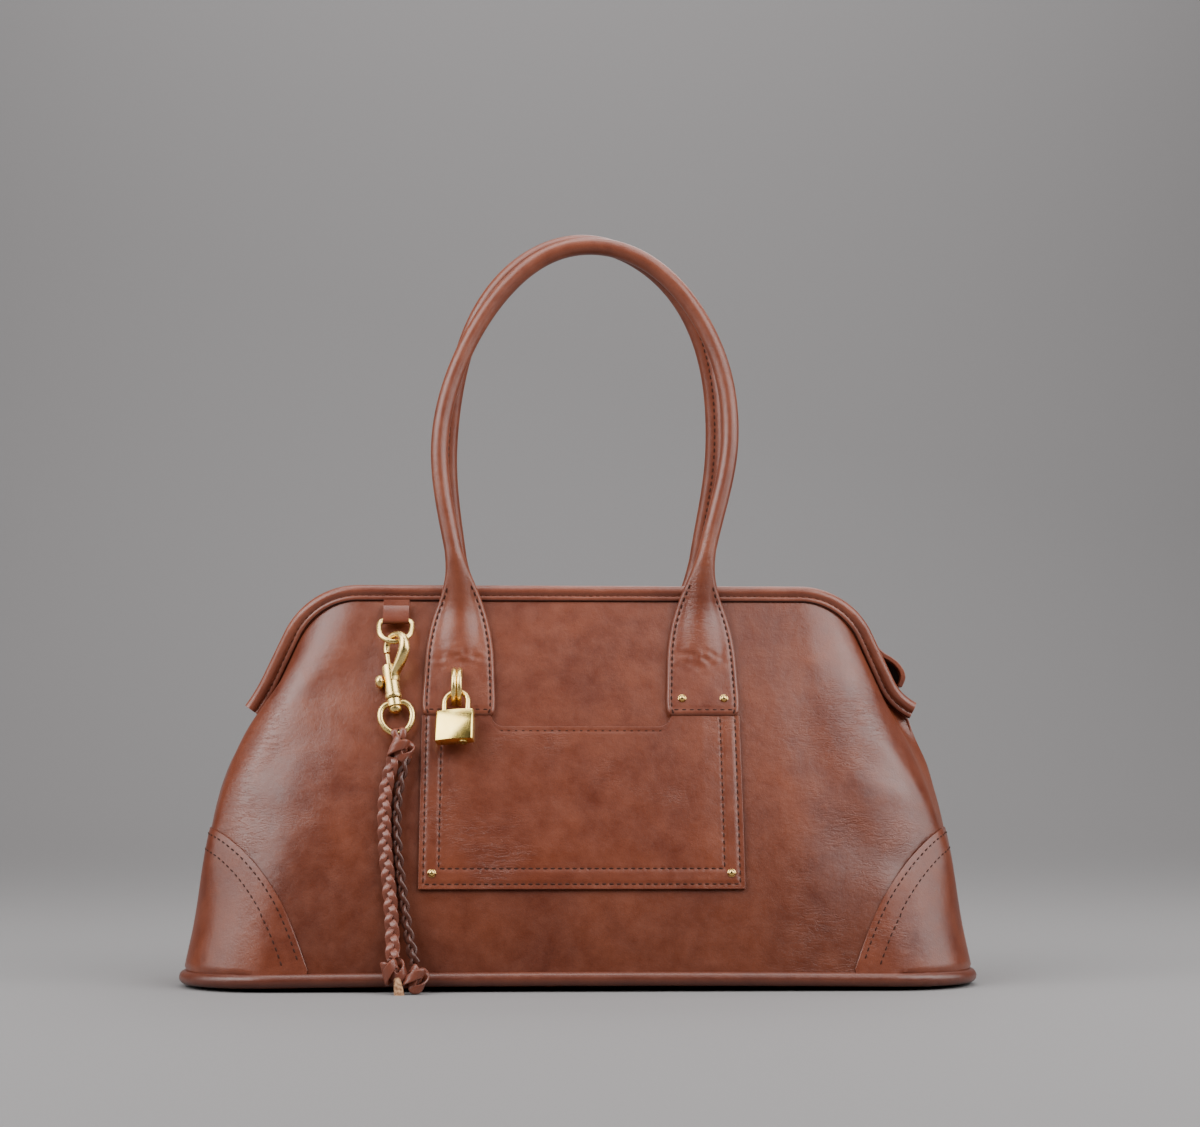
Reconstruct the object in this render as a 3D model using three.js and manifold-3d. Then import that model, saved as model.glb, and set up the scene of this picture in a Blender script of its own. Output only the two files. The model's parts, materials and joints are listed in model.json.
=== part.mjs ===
// A leather shopper bag with a domed zip top, two tall rolled handles, a patch pocket, a padlock
// on one handle tab and a braided lanyard on a snap hook.
// Millimetres, +Z up, the front faces -Y, the origin is on the floor under the middle of the base.

import * as THREE from "three";
import { mergeVertices } from "three/addons/utils/BufferGeometryUtils.js";
import Module from "manifold-3d";

const wasm = await Module();
wasm.setup();

const radians = THREE.MathUtils.degToRad;
const { lerp, smoothstep } = THREE.MathUtils;

// Driving sizes: body
const CLEAR = 0.3;
const SLIDE_CLEAR = 0.4;
const HALF_LENGTH = 215.5;
const HALF_DEPTH = 75;
const CORNER_RADIUS = 50;
const WALL = 2;
const WALL_BULGE = 5;
const END_BULGE = { left: 8, right: 4.5 };
const END_TUCK = 0.08;
const BASE_SEAM_Z = 12.3;
const RIM_SEAM_Z = 214.8;
const WALL_ROWS = 8;
const PIPING_RADIUS = 3.7;
const PIPING_Z = 8.2;
const BASE_WALL = 2.5;
const BASE_SAG = 5.6;

// Driving sizes: rim and zip
const RIM_TOP_HALF = 125;
const RIM_SHOULDER = { length: 41.3, turn: radians(64) };
const RIM_SLANT = 28;
const RIM_EAR = { length: 21, leftTurn: radians(-10), rightTurn: radians(-30) };
const RIM_HALF_GAP = 17;
const EAR_HALF_GAP = 3.6;
const WALL_EAR_GAP = 0.2;
const RIM_LEAN = radians(20);
const ZIP_REACH = 160;
const ZIP_CHAIN_HALF = 3;
const ZIP_BED = 5;
const ZIP_SLIDER_X = 110;

// Driving sizes: patches, pocket and handles
const PATCH_REACH = 125;
const PATCH_RISE = 76;
const PATCH_SHOULDER = 3.6;
const PATCH_ARCH = 1.05;
const PATCH_WALL = 1.4;
const POCKET_HALF = 87.5;
const POCKET_FOOT = 56;
const POCKET_TOP = 149.6;
const POCKET_MOUTH = 143.5;
const MOUTH_HALF = 49.5;
const MOUTH_RADIUS = 7;
const POCKET_WALL = 1.8;
const TAB_X = 67.5;
const GRIP = 10;
const ARCH_HALF = { front: 82.8, back: 77.5 };
const ARCH_FOOT = 308;
const HANDLE_LIFT = 238;
const HANDLE_STANDOFF = 20.2;
const HANDLE_LEAN_X = { front: 5, back: 3 };
const HANDLE_LEAN_FULL = 365;
const HANDLE_TOP = { front: 425.5, back: 429 };
const RIVET_RADIUS = 2.5;
const RIVET_RISE = 1.6;
const RIVET_SPREAD = 11.6;
const TAB_RIVET_Z = 158;
const POCKET_RIVET = { x: 80.3, z: 63.8 };

// Driving sizes: hook chain and lanyard
const HOOK_X = -103.3;
const HOOK_PANEL_Z = 168;
const STRAP_WIDTH = 14.4;
const STRAP_WALL = 1.8;
const RING_WIRE = 1.35;
const RING_HALF_WIDTH = 9;
const RING_TOP = { off: 4.2, up: 35.3 };
const RING_FOOT = { off: 9, up: 21.6 };
const HOOK_TILT = radians(-9.5);
const HOOK_YAW = radians(-44);
const BOW_RADIUS = 7;
const BOW_WIRE = 1.55;
const BOW_SLACK = 1.1;
const BARREL = { radius: 2.9, top: -11.7, foot: -31.8 };
const BOLT = { radius: 1.15, top: -4.5, foot: -21.9, knob: -20.6, travel: 6.5 };
const KNOB = { radius: 2.8, from: 5.2, to: 8.4 };
const POST_RADIUS = 1.5;
const COLLAR = { radius: 3.5, top: -32.1, foot: -36.6 };
const EYE_WIRE = 1.5;
const EYE_FOOT = -52.4;
const THONG_RADIUS = 1.1;
const BRAID_RADIUS = 3;

// Driving sizes: padlock
const LOCK_X = -68.5;
const LOCK_PANEL_Z = 161;
const STAPLE = { wire: 1.35, halfWidth: 2.7, rise: 9.6, reach: 7.4, off: 4.3, up: 3 };
const LOCK_PIVOT = { off: 7.8, up: -1.0 };
const LOCK_LEAN = radians(-6);
const LOCK_ROLL = radians(1);
const LOCK_YAW = radians(-12);
const SHACKLE = { wire: 1.4, radius: 6.6, leg: 12.4, seat: 3 };
const LOCK_BODY = { width: 21, height: 18, thick: 7.6, edge: 0.8 };
const KEY_PLUG = { x: 4.8, radius: 2.4, height: 0.9 };

// Sides of round sections
const WIRE_SIDES = 6;
const PIN_SIDES = 8;
const DOME_SIDES = 10;
const BARREL_SIDES = 12;

const LEATHER = { color: 0x7a3f2e, roughness: 0.5, metalness: 0 };
const TAPE = { color: 0x3f2a22, roughness: 0.8, metalness: 0 };
const BRASS = { color: 0xd6b66a, roughness: 0.25, metalness: 1 };

const bag = new THREE.Group();

// Adds one named piece to a group.
function addPiece(name, geometry, finish, group = bag) {
  const mesh = new THREE.Mesh(geometry, new THREE.MeshStandardMaterial(finish));
  mesh.name = name;
  group.add(mesh);
  return mesh;
}

// Welds a stock shape, moves each of its points with place and turns its faces outwards.
function shaped(geometry, place = () => {}) {
  geometry.deleteAttribute("normal");
  geometry.deleteAttribute("uv");
  const welded = mergeVertices(geometry);
  const position = welded.getAttribute("position");
  const corners = [];
  for (let i = 0; i < position.count; i += 1) {
    const corner = new THREE.Vector3().fromBufferAttribute(position, i);
    place(corner);
    position.setXYZ(i, corner.x, corner.y, corner.z);
    corners.push(corner);
  }
  const faces = Array.from(welded.index.array);
  let volume = 0;
  for (let i = 0; i < faces.length; i += 3) {
    const [a, b, c] = faces.slice(i, i + 3).map((k) => corners[k]);
    volume += a.dot(b.clone().cross(c));
  }
  if (volume < 0) faces.reverse();
  welded.setIndex(faces);
  return welded;
}

// A sheet: place gets the column, the row and the depth, 0 on the inner and 1 on the outer face.
function sheet(columns, rows, place) {
  const box = new THREE.BoxGeometry(1, 1, 1, columns, rows, 1);
  return shaped(box, (point) => {
    const column = Math.round((point.x + 0.5) * columns);
    const row = Math.round((point.y + 0.5) * rows);
    point.copy(place(column, row, point.z + 0.5));
  });
}

// A swept bar: place gets the station, the angle round the section and the reach from its middle.
function sweep(stations, sides, place) {
  const bar = new THREE.CylinderGeometry(1, 1, 1, sides, stations - 1);
  return shaped(bar, (point) => {
    const station = Math.round((0.5 - point.y) * (stations - 1));
    point.copy(place(station, Math.atan2(point.x, point.z), Math.hypot(point.x, point.z)));
  });
}

// A polygon with a number of sides, as the section of a wire, cord or bar.
function roundShape(halfWidth, halfHeight, sides) {
  const corners = Array.from({ length: sides }, (_, k) => {
    const angle = (2 * Math.PI * (k + 0.5)) / sides;
    return new THREE.Vector2(halfWidth * Math.cos(angle), halfHeight * Math.sin(angle));
  });
  return new THREE.Shape(corners);
}

// A wire or cord with flat ends along a smooth curve through some points.
function wire(points, section, steps) {
  const extrudePath = new THREE.CatmullRomCurve3(points, false, "centripetal");
  return shaped(new THREE.ExtrudeGeometry(section, { steps, extrudePath, bevelEnabled: false }));
}

// A list of distances from the middle, repeated with the other sign on the left.
function bothSides(distances) {
  return [...distances.slice(1).reverse().map((distance) => -distance), ...distances];
}

function mirrorY(geometry) {
  return shaped(geometry.clone(), (point) => {
    point.y = -point.y;
  });
}

function toSolid(geometry) {
  return new wasm.Manifold(
    new wasm.Mesh({
      numProp: 3,
      vertProperties: new Float32Array(geometry.getAttribute("position").array),
      triVerts: new Uint32Array(geometry.index.array),
    }),
  );
}

function fromSolid(solid) {
  const mesh = solid.getMesh();
  const geometry = new THREE.BufferGeometry();
  geometry.setAttribute("position", new THREE.BufferAttribute(mesh.vertProperties, 3));
  geometry.setIndex(new THREE.BufferAttribute(mesh.triVerts, 1));
  return geometry;
}

function joined(...geometries) {
  return fromSolid(geometries.map(toSolid).reduce((whole, next) => whole.add(next)));
}

function cut(geometry, ...tools) {
  return fromSolid(tools.map(toSolid).reduce((whole, tool) => whole.subtract(tool), toSolid(geometry)));
}

// A round bar along Z between two heights, set off from the axis.
function bar(radius, top, foot, sides, x = 0) {
  const geometry = new THREE.CylinderGeometry(radius, radius, top - foot, sides);
  geometry.rotateX(Math.PI / 2);
  geometry.translate(x, 0, (top + foot) / 2);
  return shaped(geometry);
}

// A turned piece about Z from a profile of radius and height.
function turned(profile, sides) {
  const points = profile.map(([radius, height]) => new THREE.Vector2(radius, height));
  return shaped(new THREE.LatheGeometry(points, sides).rotateX(Math.PI / 2));
}

// Outline of the base and of the rim seam, from the middle of the front to the side seam
const BASE_PATH = [
  { length: HALF_LENGTH - CORNER_RADIUS, turn: 0 },
  { length: (CORNER_RADIUS * Math.PI) / 2, turn: Math.PI / 2 },
  { length: HALF_DEPTH - CORNER_RADIUS, turn: 0 },
];

function rimPath(side) {
  return [
    { length: RIM_TOP_HALF, turn: 0 },
    RIM_SHOULDER,
    { length: RIM_SLANT, turn: 0 },
    { length: RIM_EAR.length, turn: side < 0 ? RIM_EAR.leftTurn : RIM_EAR.rightTurn },
  ];
}

const lengthOf = (path) => path.reduce((sum, stretch) => sum + stretch.length, 0);
const BASE_LENGTH = lengthOf(BASE_PATH);
const RIM_LENGTH = lengthOf(rimPath(1));

// Place and heading after a distance along a flat path of straight and round stretches.
function trace(path, distance) {
  let along = 0;
  let drop = 0;
  let heading = 0;
  let left = distance;
  for (const { length, turn } of path) {
    const share = Math.min(left, length);
    const next = heading + (turn * share) / length;
    if (turn === 0) {
      along += share * Math.cos(heading);
      drop += share * Math.sin(heading);
    } else {
      along += (length / turn) * (Math.sin(next) - Math.sin(heading));
      drop += (length / turn) * (Math.cos(heading) - Math.cos(next));
    }
    heading = next;
    left -= share;
  }
  return { along, drop, heading };
}

// Share of the way from the end of the flat top to the ear.
const towardsEar = (distance) => smoothstep(Math.abs(distance), RIM_TOP_HALF, RIM_LENGTH);

// Greatest value of up cubed times what is left above it, where an end is fullest.
const HIGH_PEAK = 27 / 256;

// Outer face of the wall: across runs -1 to 1 from side seam to side seam, up 0 to 1 from base to rim.
function wallPoint(across, up) {
  const side = across < 0 ? -1 : 1;
  const base = trace(BASE_PATH, Math.abs(across) * BASE_LENGTH);
  const rimDistance = Math.abs(across) * RIM_LENGTH;
  const rim = trace(rimPath(side), rimDistance);
  const rimY = lerp(RIM_HALF_GAP + WALL / 2, WALL_EAR_GAP, towardsEar(rimDistance));
  const fullest = (END_BULGE[side < 0 ? "left" : "right"] * up ** 3 * (1 - up)) / HIGH_PEAK;
  const fullness = fullest * smoothstep(1 - up, END_TUCK, 3 * END_TUCK);
  const bulge = WALL_BULGE * 4 * up * (1 - up) + fullness * Math.sin(base.heading) ** 2;
  return new THREE.Vector3(
    side * (lerp(base.along, rim.along, up) + bulge * Math.sin(base.heading)),
    lerp(base.drop - HALF_DEPTH, -rimY, up) - bulge * Math.cos(base.heading),
    lerp(BASE_SEAM_Z, RIM_SEAM_Z - rim.drop, up),
  );
}

// A point at a distance outside the wall's outer face.
function offWall(across, up, off) {
  const step = 0.01;
  const [left, right] = [Math.max(-1, across - step), Math.min(1, across + step)];
  const [below, above] = [Math.max(0, up - step), Math.min(1, up + step)];
  const sideways = wallPoint(right, up).sub(wallPoint(left, up));
  const upwards = wallPoint(across, above).sub(wallPoint(across, below));
  return wallPoint(across, up).addScaledVector(sideways.cross(upwards).normalize(), off);
}

const frontY = (z) => wallPoint(0, (z - BASE_SEAM_Z) / (RIM_SEAM_Z - BASE_SEAM_Z)).y;

// A group whose X runs right, whose Z runs up the front panel and whose -Y points away from it.
function panelGroup(x, z, parent = bag) {
  const group = new THREE.Group();
  group.position.set(x, frontY(z), z);
  group.rotation.x = -Math.atan2(frontY(z + 1) - frontY(z - 1), 2);
  parent.add(group);
  return group;
}

// Body: front and back panels, wrapped round the ends to the side seams
const SIDE_SEAM_Y = -CLEAR / 2;
const FLAT_SHARE = RIM_TOP_HALF / RIM_LENGTH;
const ROUND_SHARE = 0.92;
const evenly = (count, from, to) => Array.from({ length: count }, (_, k) => lerp(from, to, k / count));
const CORNER_COLUMNS = 9;
const END_COLUMNS = 2;
const FLAT_COLUMNS = 6;
const cornerStops = [
  ...evenly(CORNER_COLUMNS, FLAT_SHARE, ROUND_SHARE),
  ...evenly(END_COLUMNS, ROUND_SHARE, 1),
  1,
];
const wallStops = bothSides([...evenly(FLAT_COLUMNS, 0, FLAT_SHARE), ...cornerStops]);
const WALL_COLUMNS = wallStops.length - 1;
const frontPanel = sheet(WALL_COLUMNS, WALL_ROWS, (column, row, depth) => {
  const point = offWall(wallStops[column], row / WALL_ROWS, WALL * (depth - 1));
  const atSeam = column === 0 || column === WALL_COLUMNS;
  return point.setY(atSeam ? SIDE_SEAM_Y : Math.min(point.y, SIDE_SEAM_Y));
});
addPiece("front_panel", frontPanel, LEATHER);
addPiece("back_panel", mirrorY(frontPanel), LEATHER);

// Base: a shallow leather pan inside a ring of corded piping
const [FRONT_STRAIGHT, CORNER_ARC] = BASE_PATH.map(({ length }) => length);
const baseStops = [
  ...evenly(END_COLUMNS, 0, FRONT_STRAIGHT),
  ...evenly(CORNER_COLUMNS, FRONT_STRAIGHT, FRONT_STRAIGHT + CORNER_ARC),
  FRONT_STRAIGHT + CORNER_ARC,
  BASE_LENGTH,
];
const BASE_QUARTER = baseStops.length - 1;
const BASE_STATIONS = 4 * BASE_QUARTER;
function baseOutline(station, inset) {
  const quarter = Math.floor(station / BASE_QUARTER) % 4;
  const stop = station % BASE_QUARTER;
  const distance = baseStops[quarter % 2 === 0 ? stop : BASE_QUARTER - stop];
  const { along, drop, heading } = trace(BASE_PATH, distance);
  const x = along - inset * Math.sin(heading);
  const y = HALF_DEPTH - drop - inset * Math.cos(heading);
  return new THREE.Vector3(quarter < 2 ? x : -x, quarter === 0 || quarter === 3 ? -y : y, 0);
}

const PAN_EDGE = PIPING_RADIUS + CLEAR;
const PAN_FLAT = 15;
const PAN_PROFILE = [
  { inset: null, z: 0 },
  { inset: PAN_FLAT, z: 0 },
  { inset: PAN_EDGE, z: BASE_SAG },
  { inset: PAN_EDGE, z: BASE_SAG + BASE_WALL },
  { inset: PAN_FLAT, z: BASE_WALL },
  { inset: null, z: BASE_WALL },
];
const panPoints = PAN_PROFILE.map(({ inset }, k) => new THREE.Vector2(inset === null ? 0 : 1, k));
const basePan = shaped(new THREE.LatheGeometry(panPoints, BASE_STATIONS), (point) => {
  const { inset, z } = PAN_PROFILE[Math.round(point.y)];
  const turn = Math.atan2(point.x, point.z) / (2 * Math.PI);
  const station = Math.round((turn + 1) * BASE_STATIONS) % BASE_STATIONS;
  if (inset === null) point.set(0, 0, z);
  else point.copy(baseOutline(station, inset)).setZ(z);
});
addPiece("base_panel", basePan, LEATHER);

const PIPING_SIDES = 8;
const piping = shaped(new THREE.TorusGeometry(2, 1, PIPING_SIDES, BASE_STATIONS), (point) => {
  const turn = Math.atan2(point.y, point.x) / (2 * Math.PI);
  const station = Math.round((turn + 1) * BASE_STATIONS) % BASE_STATIONS;
  const outwards = (Math.hypot(point.x, point.y) - 2) * PIPING_RADIUS;
  const height = PIPING_Z + point.z * PIPING_RADIUS;
  point.copy(baseOutline(station, -outwards)).setZ(height);
});
addPiece("base_piping", piping, LEATHER);

// Corner patches: one arched piece wrapped round each end
const PATCH_GAP = 0.7;
const PATCH_ROWS = 4;
const PATCH_TOE_SHARE = 0.985;
const PATCH_TOE = PATCH_REACH * PATCH_TOE_SHARE;
const patchReaches = bothSides([
  ...cornerStops.map((stop) => (1 - stop) * BASE_LENGTH).reverse(),
  PATCH_TOE,
]);

function cornerPatch(side) {
  return sheet(patchReaches.length - 1, PATCH_ROWS, (column, row, depth) => {
    const reach = Math.abs(patchReaches[column]);
    const rise = PATCH_RISE * (1 - (reach / PATCH_REACH) ** PATCH_SHOULDER) ** PATCH_ARCH;
    const across = side * (1 - reach / BASE_LENGTH);
    const height = wallPoint(across, 1).z - BASE_SEAM_Z;
    const up = (CLEAR + (rise * row) / PATCH_ROWS) / height;
    const point = offWall(across, up, PATCH_GAP + depth * PATCH_WALL);
    return point.setY(-Math.sign(patchReaches[column]) * point.y);
  });
}
addPiece("corner_patch_left", cornerPatch(-1), LEATHER);
addPiece("corner_patch_right", cornerPatch(1), LEATHER);

// Rim: a rolled binding with a flat lip along its lower edge, on the top edge of each panel
const RIM_SECTION = [
  { up: 0.3, out: 2.2 },
  { up: 2.7, out: 2.3 },
  { up: 3.6, out: 3.3 },
  { up: 6.6, out: 3.9 },
  { up: 9.2, out: 2.6 },
  { up: 10, out: 0 },
  { up: 8.9, out: -2.4 },
  { up: 0.3, out: -2.4 },
];
const RIM_STATIONS = [0, 62, 125, 132, 140, 149, 158, 166.3, 180, 194.3, 201, 208, RIM_LENGTH];

// Seam point on the middle plane, outward direction and panel place at a signed distance along the rim.
function rimFrame(distance) {
  const side = distance < 0 ? -1 : 1;
  const { along, drop, heading } = trace(rimPath(side), Math.abs(distance));
  return {
    seam: new THREE.Vector3(side * along, 0, RIM_SEAM_Z - drop),
    up: new THREE.Vector3(side * Math.sin(heading), 0, Math.cos(heading)),
    y: lerp(RIM_HALF_GAP, EAR_HALF_GAP, towardsEar(distance)),
    lean: RIM_LEAN * (1 - towardsEar(distance)),
  };
}

const rimDistances = bothSides(RIM_STATIONS);
const rimMiddle = { up: 5, out: 0.2 };
const frontRim = sweep(rimDistances.length, RIM_SECTION.length, (station, angle, reach) => {
  const { seam, up, y, lean } = rimFrame(rimDistances[station]);
  const turn = angle / (2 * Math.PI) + 1;
  const corner = RIM_SECTION[Math.round(turn * RIM_SECTION.length) % RIM_SECTION.length];
  const { up: rise, out } = reach > 0.5 ? corner : rimMiddle;
  const point = seam.clone().addScaledVector(up, rise * Math.cos(lean) + out * Math.sin(lean));
  point.y = rise * Math.sin(lean) - out * Math.cos(lean) - y;
  return point;
});
addPiece("front_rim", frontRim, LEATHER);
addPiece("back_rim", mirrorY(frontRim), LEATHER);

// Zip: two tapes and a chain sunk between the rims, a slider and a leather tail tab at the right end
const zipDistances = rimDistances.filter((d) => Math.abs(d) < ZIP_REACH);
function zipPoint(distance, rise, y) {
  const { seam, up } = rimFrame(distance);
  return seam.addScaledVector(up, rise).setY(y);
}

const TAPE_WALL = 1.5;
const CHAIN_WALL = 2.6;
const RIM_INNER = 2.4;
const frontTape = sheet(zipDistances.length - 1, 1, (column, row, depth) => {
  const distance = zipDistances[column];
  const { y, lean } = rimFrame(distance);
  const rise = ZIP_BED + depth * TAPE_WALL;
  const rimSide = y - rise * Math.tan(lean) - RIM_INNER / Math.cos(lean) - CLEAR;
  return zipPoint(distance, rise, -(row === 0 ? rimSide : ZIP_CHAIN_HALF + CLEAR));
});
addPiece("zip_tape_front", frontTape, TAPE);
addPiece("zip_tape_back", mirrorY(frontTape), TAPE);

const chain = sheet(zipDistances.length - 1, 1, (column, row, depth) => {
  const rise = ZIP_BED - (CHAIN_WALL - TAPE_WALL) / 2 + depth * CHAIN_WALL;
  return zipPoint(zipDistances[column], rise, (row - 0.5) * 2 * ZIP_CHAIN_HALF);
});
addPiece("zip_chain", chain, BRASS);

const SLIDER = { length: 11, width: 8.4, height: 1.9 };
const PULL = { length: 24, width: 6, height: 1.4 };
const sliderZ = RIM_SEAM_Z + ZIP_BED + (CHAIN_WALL + TAPE_WALL) / 2 + CLEAR + SLIDER.height / 2;
const sliderBody = new THREE.BoxGeometry(SLIDER.length, SLIDER.width, SLIDER.height);
const sliderPull = new THREE.BoxGeometry(PULL.length, PULL.width, PULL.height);
sliderPull.translate(-PULL.length / 2, 0, (SLIDER.height - PULL.height) / 2);
const slider = addPiece("zip_slider", joined(shaped(sliderBody), shaped(sliderPull)), BRASS);
slider.position.set(ZIP_SLIDER_X, 0, sliderZ);

const TAIL_HALF_WIDTH = 5.2;
const TAIL_WALL = 2;
const TAIL_ROUTE = [
  { distance: 150, rise: 8.4 },
  { distance: 158, rise: 8.9 },
  { distance: 166, rise: 9 },
  { distance: 174, rise: 9.4 },
  { distance: 180, rise: 11.4 },
  { distance: 184, rise: 14 },
  { distance: 188, rise: 16 },
  { distance: 193, rise: 17 },
  { distance: 197.5, rise: 16.2 },
  { distance: 201.5, rise: 13.8 },
  { distance: 203.5, rise: 11.4 },
];
const tailTab = sheet(TAIL_ROUTE.length - 1, 1, (column, row, depth) => {
  const before = TAIL_ROUTE[Math.max(column - 1, 0)];
  const after = TAIL_ROUTE[Math.min(column + 1, TAIL_ROUTE.length - 1)];
  const run = zipPoint(after.distance, after.rise, 0).sub(zipPoint(before.distance, before.rise, 0));
  const outwards = new THREE.Vector3(-run.z, 0, run.x).normalize();
  const { distance, rise } = TAIL_ROUTE[column];
  const point = zipPoint(distance, rise, (row - 0.5) * 2 * TAIL_HALF_WIDTH);
  return point.addScaledVector(outwards, (depth - 0.5) * TAIL_WALL);
});
addPiece("zip_tail_tab", tailTab, LEATHER);

// Pocket: a flat patch with a lowered mouth between the handle tabs
const MOUTH_FLAT = MOUTH_HALF - MOUTH_RADIUS;
const POCKET_HALF_COLUMNS = [0, 14, 28, MOUTH_FLAT, 46.5, 48.6, MOUTH_HALF, 62, 75, POCKET_HALF];
const pocketColumns = bothSides(POCKET_HALF_COLUMNS);
const POCKET_ROWS = 5;

function pocketTop(x) {
  const past = Math.abs(x) - MOUTH_FLAT;
  if (past <= 0) return POCKET_MOUTH;
  if (past >= MOUTH_RADIUS) return POCKET_TOP;
  const rise = MOUTH_RADIUS - Math.sqrt(MOUTH_RADIUS ** 2 - past ** 2);
  return Math.min(POCKET_MOUTH + rise, POCKET_TOP);
}

const pocket = sheet(pocketColumns.length - 1, POCKET_ROWS, (column, row, depth) => {
  const x = pocketColumns[column];
  const z = lerp(POCKET_FOOT, pocketTop(x), row / POCKET_ROWS);
  return new THREE.Vector3(x, frontY(z) - CLEAR - depth * POCKET_WALL, z);
});
addPiece("front_pocket", pocket, LEATHER);

// Handles: a rolled grip that flattens into a tab at each end
const TAB_SECTIONS = [
  { z: 150.2, width: 33, thick: 3.2 },
  { z: 152.4, width: 38.6, thick: 3.4 },
  { z: 157, width: 40, thick: 3.4 },
  { z: 176, width: 38.6, thick: 3.6 },
  { z: 193, width: 36, thick: 4.2 },
  { z: 204, width: 31, thick: 5.2 },
  { z: 214, width: 24.5, thick: 6.8 },
  { z: 225, width: 17, thick: 8.6 },
  { z: HANDLE_LIFT, width: GRIP + 1, thick: GRIP },
];
const LEG_HEIGHTS = [260, 283];
const ARCH_STEPS = 14;
const LEG_SPREAD_FROM = 210;
const FLAT_TAB = 4;
const TAB_CORNER_POWER = 0.4;

const tabBackY = (z) => Math.min(frontY(Math.min(z, RIM_SEAM_Z)), -HANDLE_STANDOFF) - CLEAR;
const tabCentreY = (z, thick) => tabBackY(z) - thick / 2;

function handleStations(end) {
  const top = HANDLE_TOP[end];
  const liftY = tabCentreY(HANDLE_LIFT, GRIP);
  const place = (x, z) => {
    const share = smoothstep(z, HANDLE_LIFT, HANDLE_LEAN_FULL);
    const climb = (z - HANDLE_LIFT) / (top - HANDLE_LIFT);
    return new THREE.Vector3(
      x + HANDLE_LEAN_X[end] * share,
      lerp(liftY, -(GRIP / 2 + SLIDE_CLEAR), climb),
      z,
    );
  };
  const archHalf = ARCH_HALF[end];
  const legX = (z) => lerp(TAB_X, archHalf, smoothstep(z, LEG_SPREAD_FROM, ARCH_FOOT));
  const leg = (side) => [
    ...TAB_SECTIONS.map(({ z, width, thick }) => ({
      centre: new THREE.Vector3(side * legX(z), tabCentreY(z, thick), z),
      width,
      thick,
    })),
    ...LEG_HEIGHTS.map((z) => ({ centre: place(side * legX(z), z), width: GRIP, thick: GRIP })),
  ];
  const arch = Array.from({ length: ARCH_STEPS + 1 }, (_, k) => {
    const angle = (Math.PI * k) / ARCH_STEPS;
    const z = ARCH_FOOT + (top - ARCH_FOOT) * Math.sin(angle);
    return { centre: place(archHalf * Math.cos(angle), z), width: GRIP, thick: GRIP };
  });
  return [...leg(1), ...arch, ...leg(-1).reverse()];
}

function handle(end) {
  const stations = handleStations(end);
  return sweep(stations.length, BARREL_SIDES, (station, angle, reach) => {
    const { centre, width, thick } = stations[station];
    const before = stations[Math.max(station - 1, 0)].centre;
    const after = stations[Math.min(station + 1, stations.length - 1)].centre;
    const run = after.clone().sub(before).normalize();
    const inwards = new THREE.Vector3(-run.z, 0, run.x).normalize();
    const through = run.clone().cross(inwards).normalize();
    const flatness = Math.min(1, Math.max(0, width / thick - 1) / FLAT_TAB);
    const power = lerp(1, TAB_CORNER_POWER, flatness);
    const boxed = (value) => Math.sign(value) * Math.abs(value) ** power;
    return centre
      .clone()
      .addScaledVector(inwards, (reach * boxed(Math.cos(angle)) * width) / 2)
      .addScaledVector(through, (reach * boxed(Math.sin(angle)) * thick) / 2);
  });
}
addPiece("handle_front", handle("front"), LEATHER);
addPiece("handle_back", mirrorY(handle("back")), LEATHER);

// Rivets: domes on the right tab and at the lower corners of the pocket
const RIVET_PROFILE = [
  { radius: 0, rise: 0 },
  { radius: 1, rise: 0 },
  { radius: 0.94, rise: 0.45 },
  { radius: 0.55, rise: 0.88 },
  { radius: 0, rise: 1 },
];
function rivet(name, x, z, seat) {
  const dome = turned(
    RIVET_PROFILE.map(({ radius, rise }) => [RIVET_RADIUS * radius, RIVET_RISE * rise]),
    DOME_SIDES,
  );
  const piece = addPiece(name, dome, BRASS, panelGroup(x, z));
  piece.rotation.x = Math.PI / 2;
  piece.position.y = -seat;
}
const TAB_THICK_AT_RIVET = 3.5;
const TAB_FACE = CLEAR + TAB_THICK_AT_RIVET;
rivet("rivet_tab_inner", TAB_X - RIVET_SPREAD, TAB_RIVET_Z, TAB_FACE + CLEAR);
rivet("rivet_tab_outer", TAB_X + RIVET_SPREAD, TAB_RIVET_Z, TAB_FACE + CLEAR);
rivet("rivet_pocket_left", -POCKET_RIVET.x, POCKET_RIVET.z, POCKET_WALL + 2 * CLEAR);
rivet("rivet_pocket_right", POCKET_RIVET.x, POCKET_RIVET.z, POCKET_WALL + 2 * CLEAR);

// Strap loop: a folded strip under the rim, round the top of the ring
const hookPanel = panelGroup(HOOK_X, HOOK_PANEL_Z);
const LOOP_INNER = RING_WIRE + CLEAR;
const LOOP_OUTER = LOOP_INNER + STRAP_WALL;
const STRAP_RISE = 13.2;
const STRAP_TOP_THICK = 3.2;
const STRAP_SLOT_RISE = 5;
const STRAP_SLOT_FRONT = 0.9;
const loopShape = new THREE.Shape();
loopShape.moveTo(-LOOP_OUTER, STRAP_RISE);
loopShape.lineTo(-LOOP_OUTER, 0);
loopShape.absarc(0, 0, LOOP_OUTER, Math.PI, 2 * Math.PI, false);
loopShape.lineTo(STRAP_TOP_THICK - LOOP_OUTER, STRAP_RISE);
const loopHole = new THREE.Path();
loopHole.moveTo(-LOOP_INNER, STRAP_SLOT_RISE);
loopHole.lineTo(-LOOP_INNER, 0);
loopHole.absarc(0, 0, LOOP_INNER, Math.PI, 2 * Math.PI, false);
loopHole.lineTo(STRAP_TOP_THICK - LOOP_OUTER - STRAP_SLOT_FRONT, STRAP_SLOT_RISE);
loopShape.holes.push(loopHole);
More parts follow.
